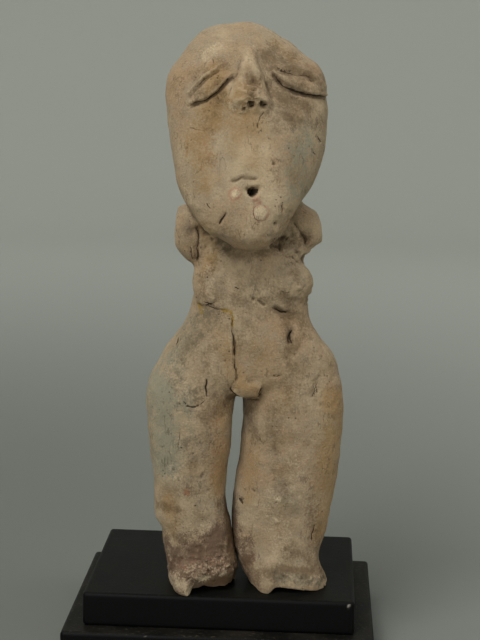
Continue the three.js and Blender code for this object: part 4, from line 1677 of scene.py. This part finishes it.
    sunk_ends: Span = (0.02, 0.12)
    line_ends: Span = (0.02, 0.15)
    line_reach: Span = (0.9, 1.5)
    line_shown: float = 0.05
    line_width: float = 0.9
    line_varies: Waviness = Waviness(1.6, 0.7, 51)

    def to_frame(self, points: np.ndarray) -> np.ndarray:
        """Turns and moves places from the figurine's own axes to the frame, in mm."""
        return self.turned(points) + np.array(self.place)

    def turned(self, ways: np.ndarray) -> np.ndarray:
        """Turns directions from the figurine's own axes to the frame's."""
        return ways @ np.array(Matrix.Rotation(math.radians(self.turn), 3, "Z")).T

    def fused(self) -> bpy.types.Mesh:
        """Lays one skin round all the rolls and lumps, and thumbs the joins smooth.

        Returns:
            The skin, in the figurine's own mm.
        """
        limbs = (self.left_leg, self.right_leg, self.torso, self.left_stump, self.right_stump, self.flap)
        shells = [limb.shell() for limb in (*self.toes, *limbs, *self.breasts, self.head)]
        for (points, _), side in zip(shells, (-1, 1, -1, 1)):
            points[:, 0] += side * self.apart(points)
        rough = new_object("figurine_rough", new_mesh(*join(shells)))
        rough.modifiers.new("skin", "REMESH").voxel_size = self.voxel
        skin = bpy.data.meshes.new_from_object(rough.evaluated_get(bpy.context.evaluated_depsgraph_get()))
        bpy.data.objects.remove(rough)
        places = Relaxer(skin).smooth(vertex_places(skin), self.blend_rounds, KEEPS_BULK)
        places[:, 0] -= np.where(places[:, 0] < self.between_legs, -1, 1) * self.apart(places)
        place_vertices(skin, places)
        return skin

    def apart(self, points: np.ndarray) -> np.ndarray:
        """How far each leg is held from the other while the skin is made, so that it can't web them."""
        return self.legs_held * (1 - smoothstep(*self.legs_eased, points[:, 2]))

    def front(self, skin: bpy.types.Mesh) -> PhotoFront:
        """The skin as the photograph sees it."""
        places = self.to_frame(vertex_places(skin))
        return PhotoFront(self.camera, places, self.turned(vertex_normals(skin)))

    def refine(self, skin: bpy.types.Mesh) -> None:
        """Halves the mesh on the side that the photograph shows, so that it can hold the fine marks.

        Args:
            skin: the figurine's mesh.
        """
        shown = self.front(skin).weight > self.refine_above
        work = bmesh.new()
        work.from_mesh(skin)
        work.verts.ensure_lookup_table()
        edges = [edge for edge in work.edges if shown[edge.verts[0].index] and shown[edge.verts[1].index]]
        bmesh.ops.subdivide_edges(work, edges=edges, cuts=1, use_grid_fill=True)
        work.to_mesh(skin)
        work.free()
        place_vertices(skin, Relaxer(skin).smooth(vertex_places(skin), self.refine_rounds, KEEPS_BULK))

    def lift(self, skin: bpy.types.Mesh, height: np.ndarray) -> None:
        """Moves each vertex out along its normal by a height in mm."""
        place_vertices(skin, vertex_places(skin) + vertex_normals(skin) * height[:, None])

    def work_clay(self, skin: bpy.types.Mesh) -> None:
        """Presses in the broad forms, then the eyes and tool marks, then the unevenness of hand work.

        Args:
            skin: the figurine's mesh.
        """
        front = self.front(skin)
        self.lift(skin, sum(front.height(mark) for mark in FORMS))
        front = self.front(skin)
        self.lift(skin, sum(front.pad(eye) for eye in EYES) + front.nose(NOSE))
        front = self.front(skin)
        self.lift(skin, sum(front.height(mark) for mark in DETAILS) - self.sunk(front))
        places = vertex_places(skin)
        rough = smoothstep(*self.rough_edge, self.rough_patches.at(places))
        uneven = sum(wave.at(places) for wave in self.hand_waves)
        self.lift(skin, uneven + rough * self.rough_grain.at(places))

    def sunk(self, front: PhotoFront) -> np.ndarray:
        """How far the cracks sink each vertex, never narrower than the mesh can hold.

        Args:
            front: the skin as the photograph sees it.

        Returns:
            A bell across each crack, in mm, one number per vertex.
        """
        depth = np.zeros(len(front.points))
        for crack in CRACKS:
            apart, _, along = front.distance(crack.path)
            bell = np.exp(-(apart / max(crack.half_width, self.least_sunk)) ** 2)
            depth += crack.depth * bell * run_out(along, *self.sunk_ends) * front.weight
        return depth

    def break_arms(self, skin: bpy.types.Mesh) -> None:
        """Flattens the stumps to the rough faces where the arms broke off.

        A face leans to the back and upwards, and what stands over it is pressed in, less at its edge.

        Args:
            skin: the figurine's mesh.
        """
        places = vertex_places(skin)
        x, y, z = places.T
        chipped = self.break_chips.at(places)
        at_stump = smoothstep(*self.stump_foot, z) * (1 - smoothstep(*self.stump_top, z))
        lean = self.break_lean_back * y + self.break_lean_up * (z - self.break_middle)
        for side, face in ((-1, self.left_break), (1, self.right_break)):
            over = side * x + lean - face
            pressed = self.break_press * np.maximum(over, 0) + chipped
            places[:, 0] -= side * at_stump * smoothstep(*self.break_edge, over) * pressed
        place_vertices(skin, places)

    def break_feet(self, skin: bpy.types.Mesh) -> None:
        """Flattens the soles and pushes them up to the broken edges, squeezing the lowest part of the leg.

        Args:
            skin: the figurine's mesh.
        """
        places = vertex_places(skin)
        x, y, z = places.T
        ragged = self.sole_ragged.at(places * np.array([1, 1, 0]))
        floor = np.zeros_like(z)
        wander = self.sole_wander.at(places)
        for chip in FOOT_CHIPS:
            beside = x + chip.wander * chip.ragged * wander
            across = smoothstep(chip.left - chip.edge, chip.left, beside)
            across = across - smoothstep(chip.right, chip.right + chip.runs_out, beside)
            depth = 1 - smoothstep(chip.back - chip.back_edge, chip.back, y)
            floor = np.maximum(floor, across * depth * (chip.height + chip.ragged * ragged))
            below = np.clip(1 - z / (chip.rim * (1 + chip.rim_wander * wander)), 0, 1)
            places[:, 1] += chip.scoop * across * below ** chip.hollow * (1 - smoothstep(*chip.scooped, y))
        flat = np.maximum(z, 0)
        squeeze = np.clip(1 - flat / self.foot_squeezed, 0, 1)
        places[:, 2] = flat + floor * squeeze
        place_vertices(skin, places)

    def keep_surface(self, skin: bpy.types.Mesh) -> None:
        """Keeps, for the clay, each vertex's hollowness, stains, painted shade and light, and nearest
        crack.

        Args:
            skin: the figurine's mesh.
        """
        places, normals = vertex_places(skin), vertex_normals(skin)
        sunk = np.sum((Relaxer(skin).smooth(places, self.dirt_rounds) - places) * normals, axis=1)
        store(skin, "hollow", np.clip(sunk / self.full_hollow, 0, 1))
        store(skin, "high", np.clip(-sunk / self.full_hollow, 0, 1))
        front = self.front(skin)
        for pigment, stains in STAINS.items():
            store(skin, pigment.value, np.max([front.stain(stain) for stain in stains], axis=0))
        side, width = np.zeros((2, len(places)))
        nearest = np.full(len(places), np.inf)
        vary = self.line_width + self.line_varies.at(places)
        for crack in CRACKS:
            apart, hand, along = front.distance(crack.path)
            near = run_out(along, *self.line_ends) * (1 - smoothstep(*self.line_reach, apart))
            near *= front.weight > self.line_shown
            nearer = apart < nearest
            nearest = np.where(nearer, apart, nearest)
            side = np.where(nearer, apart * hand, side)
            width = np.where(nearer, crack.half_width * near * vary, width)
        store(skin, "crack_side", side)
        store(skin, "crack_width", width)

    def build(self) -> bpy.types.Object:
        """Makes the figurine, in the frame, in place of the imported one.

        Returns:
            The piece.
        """
        skin = self.fused()
        self.refine(skin)
        self.break_arms(skin)
        self.work_clay(skin)
        self.break_feet(skin)
        self.keep_surface(skin)
        place_vertices(skin, self.to_frame(vertex_places(skin)) * MM)
        shade_smooth(skin)
        made = new_object("figurine_clay", skin)
        skin.materials.clear()
        skin.materials.append(FiredClay().build())
        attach(made, "root")
        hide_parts("figurine")
        return made


@dataclass(frozen=True)
class Chip:
    """A spot on a board, in mm in the frame, where the lacquer is knocked off."""

    at: Point
    radius: float
    depth: float


@dataclass
class LacqueredBoard:
    """One board of the stand: a rounded rectangle with eased edges and a few knocked spots, in mm."""

    node: str
    material: bpy.types.Material
    dust_top: float
    chips: tuple[Chip, ...]
    ease: float = 0.8
    ease_steps: int = 6
    corner: float = 0.9
    corner_steps: int = 7
    step: float = 0.5
    side_rings: int = 12
    rim: float = 0.3
    last_ring: float = 3.0
    dust_edge: float = 0.4
    chip_middle: float = 0.4
    chip_edge: Waviness = Waviness(0.6, 0.3, 5, 1)
    bare_edge: Span = (0.2, 0.6)

    def outline(self, half: np.ndarray) -> tuple[np.ndarray, np.ndarray]:
        """A rounded rectangle, counter-clockwise from above.

        Args:
            half: half its width and half its depth.

        Returns:
            The corner centre or edge point under each point, and the outward direction there. A point of
            the outline is the first plus the corner radius times the second.
        """
        turn = np.linspace(0, np.pi / 2, self.corner_steps)
        inner = half - self.corner
        centres, ways = [], []
        for n, (sx, sy) in enumerate(((1, 1), (-1, 1), (-1, -1), (1, -1))):
            angle = turn + n * np.pi / 2
            centre, following = inner * (sx, sy), inner * (-sy, sx)
            centres.append(np.repeat(centre[None], len(angle), axis=0))
            ways.append(np.stack([np.cos(angle), np.sin(angle)], axis=-1))
            count = max(2, round(np.linalg.norm(following - centre) / self.step))
            run = np.linspace(0, 1, count, endpoint=False)[1:, None]
            centres.append(centre + (following - centre) * run)
            ways.append(np.repeat(ways[-1][-1:], len(run), axis=0))
        return np.vstack(centres), np.vstack(ways)

    def rings(self, low: np.ndarray, high: np.ndarray) -> np.ndarray:
        """Rings from the middle of the underside, up the eased side, to the middle of the top.

        Args:
            low: the board's lowest corner, in mm.
            high: its highest corner.

        Returns:
            An array of rings by points by 3.
        """
        middle, half = (low + high) / 2, (high - low) / 2
        centres, ways = self.outline(half[:2])
        turn = np.linspace(0, np.pi / 2, self.ease_steps)
        side = np.linspace(low[2] + self.ease, high[2] - self.ease, self.side_rings + 2)[1:-1]
        heights = np.concatenate([
            [low[2], low[2]],
            low[2] + self.ease * (1 - np.cos(turn)),
            side,
            high[2] - self.ease * (1 - np.sin(turn)),
            [high[2], high[2]],
        ])
        inset = np.concatenate([
            [self.last_ring, self.ease + self.rim],
            self.ease * (1 - np.sin(turn)),
            np.zeros_like(side),
            self.ease * (1 - np.cos(turn)),
            [self.ease + self.rim, self.last_ring],
        ])
        rings = np.empty((len(heights), len(centres), 3))
        out = np.maximum(self.corner - inset, 0.0)[:, None, None] * ways[None]
        shrink = 1 - np.maximum(inset - self.corner, 0.0)[:, None, None] / half[:2].min()
        rings[..., :2] = centres[None] * shrink + out + middle[:2]
        rings[..., 2] = heights[:, None]
        return rings

    def build(self) -> bpy.types.Object:
        """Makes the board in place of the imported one, dents the chips and keeps the dust and bare spots.

        Returns:
            The piece.
        """
        low, high = (np.array(corner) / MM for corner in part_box(self.node))
        middle = (low + high) / 2
        points, faces = closed_tube(self.rings(low, high))
        top = smoothstep(high[2] - self.dust_edge * self.ease, high[2], points[:, 2])
        bare = np.zeros(len(points))
        for chip in self.chips:
            apart = np.linalg.norm(points - np.array(chip.at), axis=1) + self.chip_edge.at(points)
            dent = 1 - smoothstep(self.chip_middle * chip.radius, chip.radius, apart)
            inwards = (middle - points) / np.linalg.norm(middle - points, axis=1)[:, None]
            points += inwards * (chip.depth * dent)[:, None]
            bare = np.maximum(bare, smoothstep(*self.bare_edge, dent))
        made = new_object(self.node + "_lacquered", new_mesh(points * MM, faces))
        store(made.data, "dust", self.dust_top * top)
        store(made.data, "chip", bare)
        made.data.materials.append(self.material)
        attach(made, "root")
        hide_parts(self.node)
        return made


UPPER_CHIPS = (
    Chip((29.6, -24.0, 15.8), 0.5, 0.2),
    Chip((12.0, -24.0, 16.7), 0.3, 0.1),
    Chip((-21.0, -24.0, 16.7), 0.3, 0.1),
)

LOWER_CHIPS = (
    Chip((-16.0, -28.5, 8.9), 0.25, 0.1),
    Chip((24.0, -28.5, 8.9), 0.25, 0.1),
)


@dataclass(frozen=True)
class BackdropPaper:
    """Matt grey paper, with painted shade about a place by the stand and painted light away from it: a dull
    ground.
    """

    name: str = "grey_backdrop_paper"
    floor: str = "73766f"
    wall: str = "bbbeb6"
    painted_shade_centre: Point = (-0.12, 0.0, 0.0)
    painted_light_rise: Span = (0.05, 0.7)
    roughness: float = 0.95
    specular: float = 0.1

    def build(self) -> bpy.types.Material:
        """Makes the material.

        Returns:
            The paper.
        """
        paper = Dressing(self.name, {"Roughness": self.roughness, "Specular IOR Level": self.specular})
        # Painted shade near the stand, easing into painted light away from it.
        away = paper.add(Node.DISTANCE, paper.place, self.painted_shade_centre)
        rise = paper.add(Node.STEP, away, *self.painted_light_rise)
        shade = paper.add(Node.MIX, rise, linear(self.floor), linear(self.wall))
        return paper.finish({"Base Color": shade})


@dataclass(frozen=True)
class SoftLamp:
    """A square soft light: its place and size in metres, and its power in watts."""

    name: str
    place: Point
    size: float
    power: float

    def build(self, aim: Point) -> None:
        """Makes the lamp.

        Args:
            aim: the place that it faces.
        """
        light = bpy.data.lights.new(self.name, "AREA")
        light.size = self.size
        light.energy = self.power
        lamp = bpy.data.objects.new(self.name, light)
        turn = (Vector(aim) - Vector(self.place)).to_track_quat("-Z", "Y").to_matrix().to_4x4()
        lamp.matrix_world = Matrix.Translation(self.place) @ turn
        bpy.context.scene.collection.objects.link(lamp)


@dataclass(frozen=True)
class Studio:
    """A plain floor that curves up into a wall all round, three soft lamps and even light from the room.

    The key light is at the upper left, the fill light is low in front, and the side light is weaker.
    """

    middle_radius: float = 0.02
    floor_radius: float = 0.75
    floor_rings: int = 12
    wall_radius: float = 1.3
    wall_height: float = 1.6
    bend_rings: int = 24
    sides: int = 96
    lamps: tuple[SoftLamp, ...] = (
        SoftLamp("key_light", (-0.27, -0.48, 0.72), 0.36, 3.66),
        SoftLamp("fill_light", (-0.25, -0.95, 0.36), 0.5, 2.7),
        SoftLamp("side_light", (0.78, -0.2, 0.42), 0.5, 1.6),
    )
    aim: Point = (0.0, 0.0, 0.08)
    ambient: float = 0.66

    def backdrop(self) -> None:
        """A surface of revolution: a flat floor, a quarter round and an upright wall."""
        bend = self.wall_radius - self.floor_radius
        turn = np.linspace(0, np.pi / 2, self.bend_rings)[1:]
        floor = np.linspace(self.middle_radius, self.floor_radius, self.floor_rings)
        outwards = self.floor_radius + bend * np.sin(turn)
        radius = np.concatenate([floor, outwards, [self.wall_radius]])[:, None]
        height = np.concatenate([0 * floor, bend * (1 - np.cos(turn)), [self.wall_height]])[:, None]
        angle = np.linspace(0, 2 * np.pi, self.sides, endpoint=False)
        rings = np.stack([radius * np.cos(angle), radius * np.sin(angle), height + 0 * angle], axis=-1)
        number, quads = ring_quads(rings)
        # The quads are turned over, so that they face inwards.
        faces = [*quads[:, [0, 3, 2, 1]].tolist(), number[0].tolist()]
        sweep = new_object("studio_sweep", new_mesh(rings.reshape(-1, 3), faces))
        sweep.data.materials.append(BackdropPaper().build())

    def build(self) -> None:
        """Makes the backdrop, the three lamps and the even light of the room."""
        self.backdrop()
        for lamp in self.lamps:
            lamp.build(self.aim)
        world = bpy.data.worlds.new("studio_room")
        world.use_nodes = True
        ground = world.node_tree.nodes["Background"]
        ground.inputs["Color"].default_value = (1, 1, 1, 1)
        ground.inputs["Strength"].default_value = self.ambient
        bpy.context.scene.world = world
        bpy.context.scene.view_settings.view_transform = "Standard"


def main() -> None:
    """Builds the camera, the figurine, the stand and the studio, and reports each piece."""
    logging.basicConfig(level=logging.INFO, format="%(name)s: %(message)s")
    camera = PhotoCamera()
    camera.build()
    lacquer = BlackLacquer().build()
    pieces = (
        Figurine(camera),
        LacqueredBoard("stand_upper_block", lacquer, dust_top=0.2, chips=UPPER_CHIPS),
        LacqueredBoard("stand_lower_board", lacquer, dust_top=0.7, chips=LOWER_CHIPS),
    )
    for piece in pieces:
        made = piece.build()
        triangles = sum(len(face.vertices) - 2 for face in made.data.polygons)
        LOG.info("%s: %d triangles", made.name, triangles)
    Studio().build()


if __name__ == "__main__":
    main()
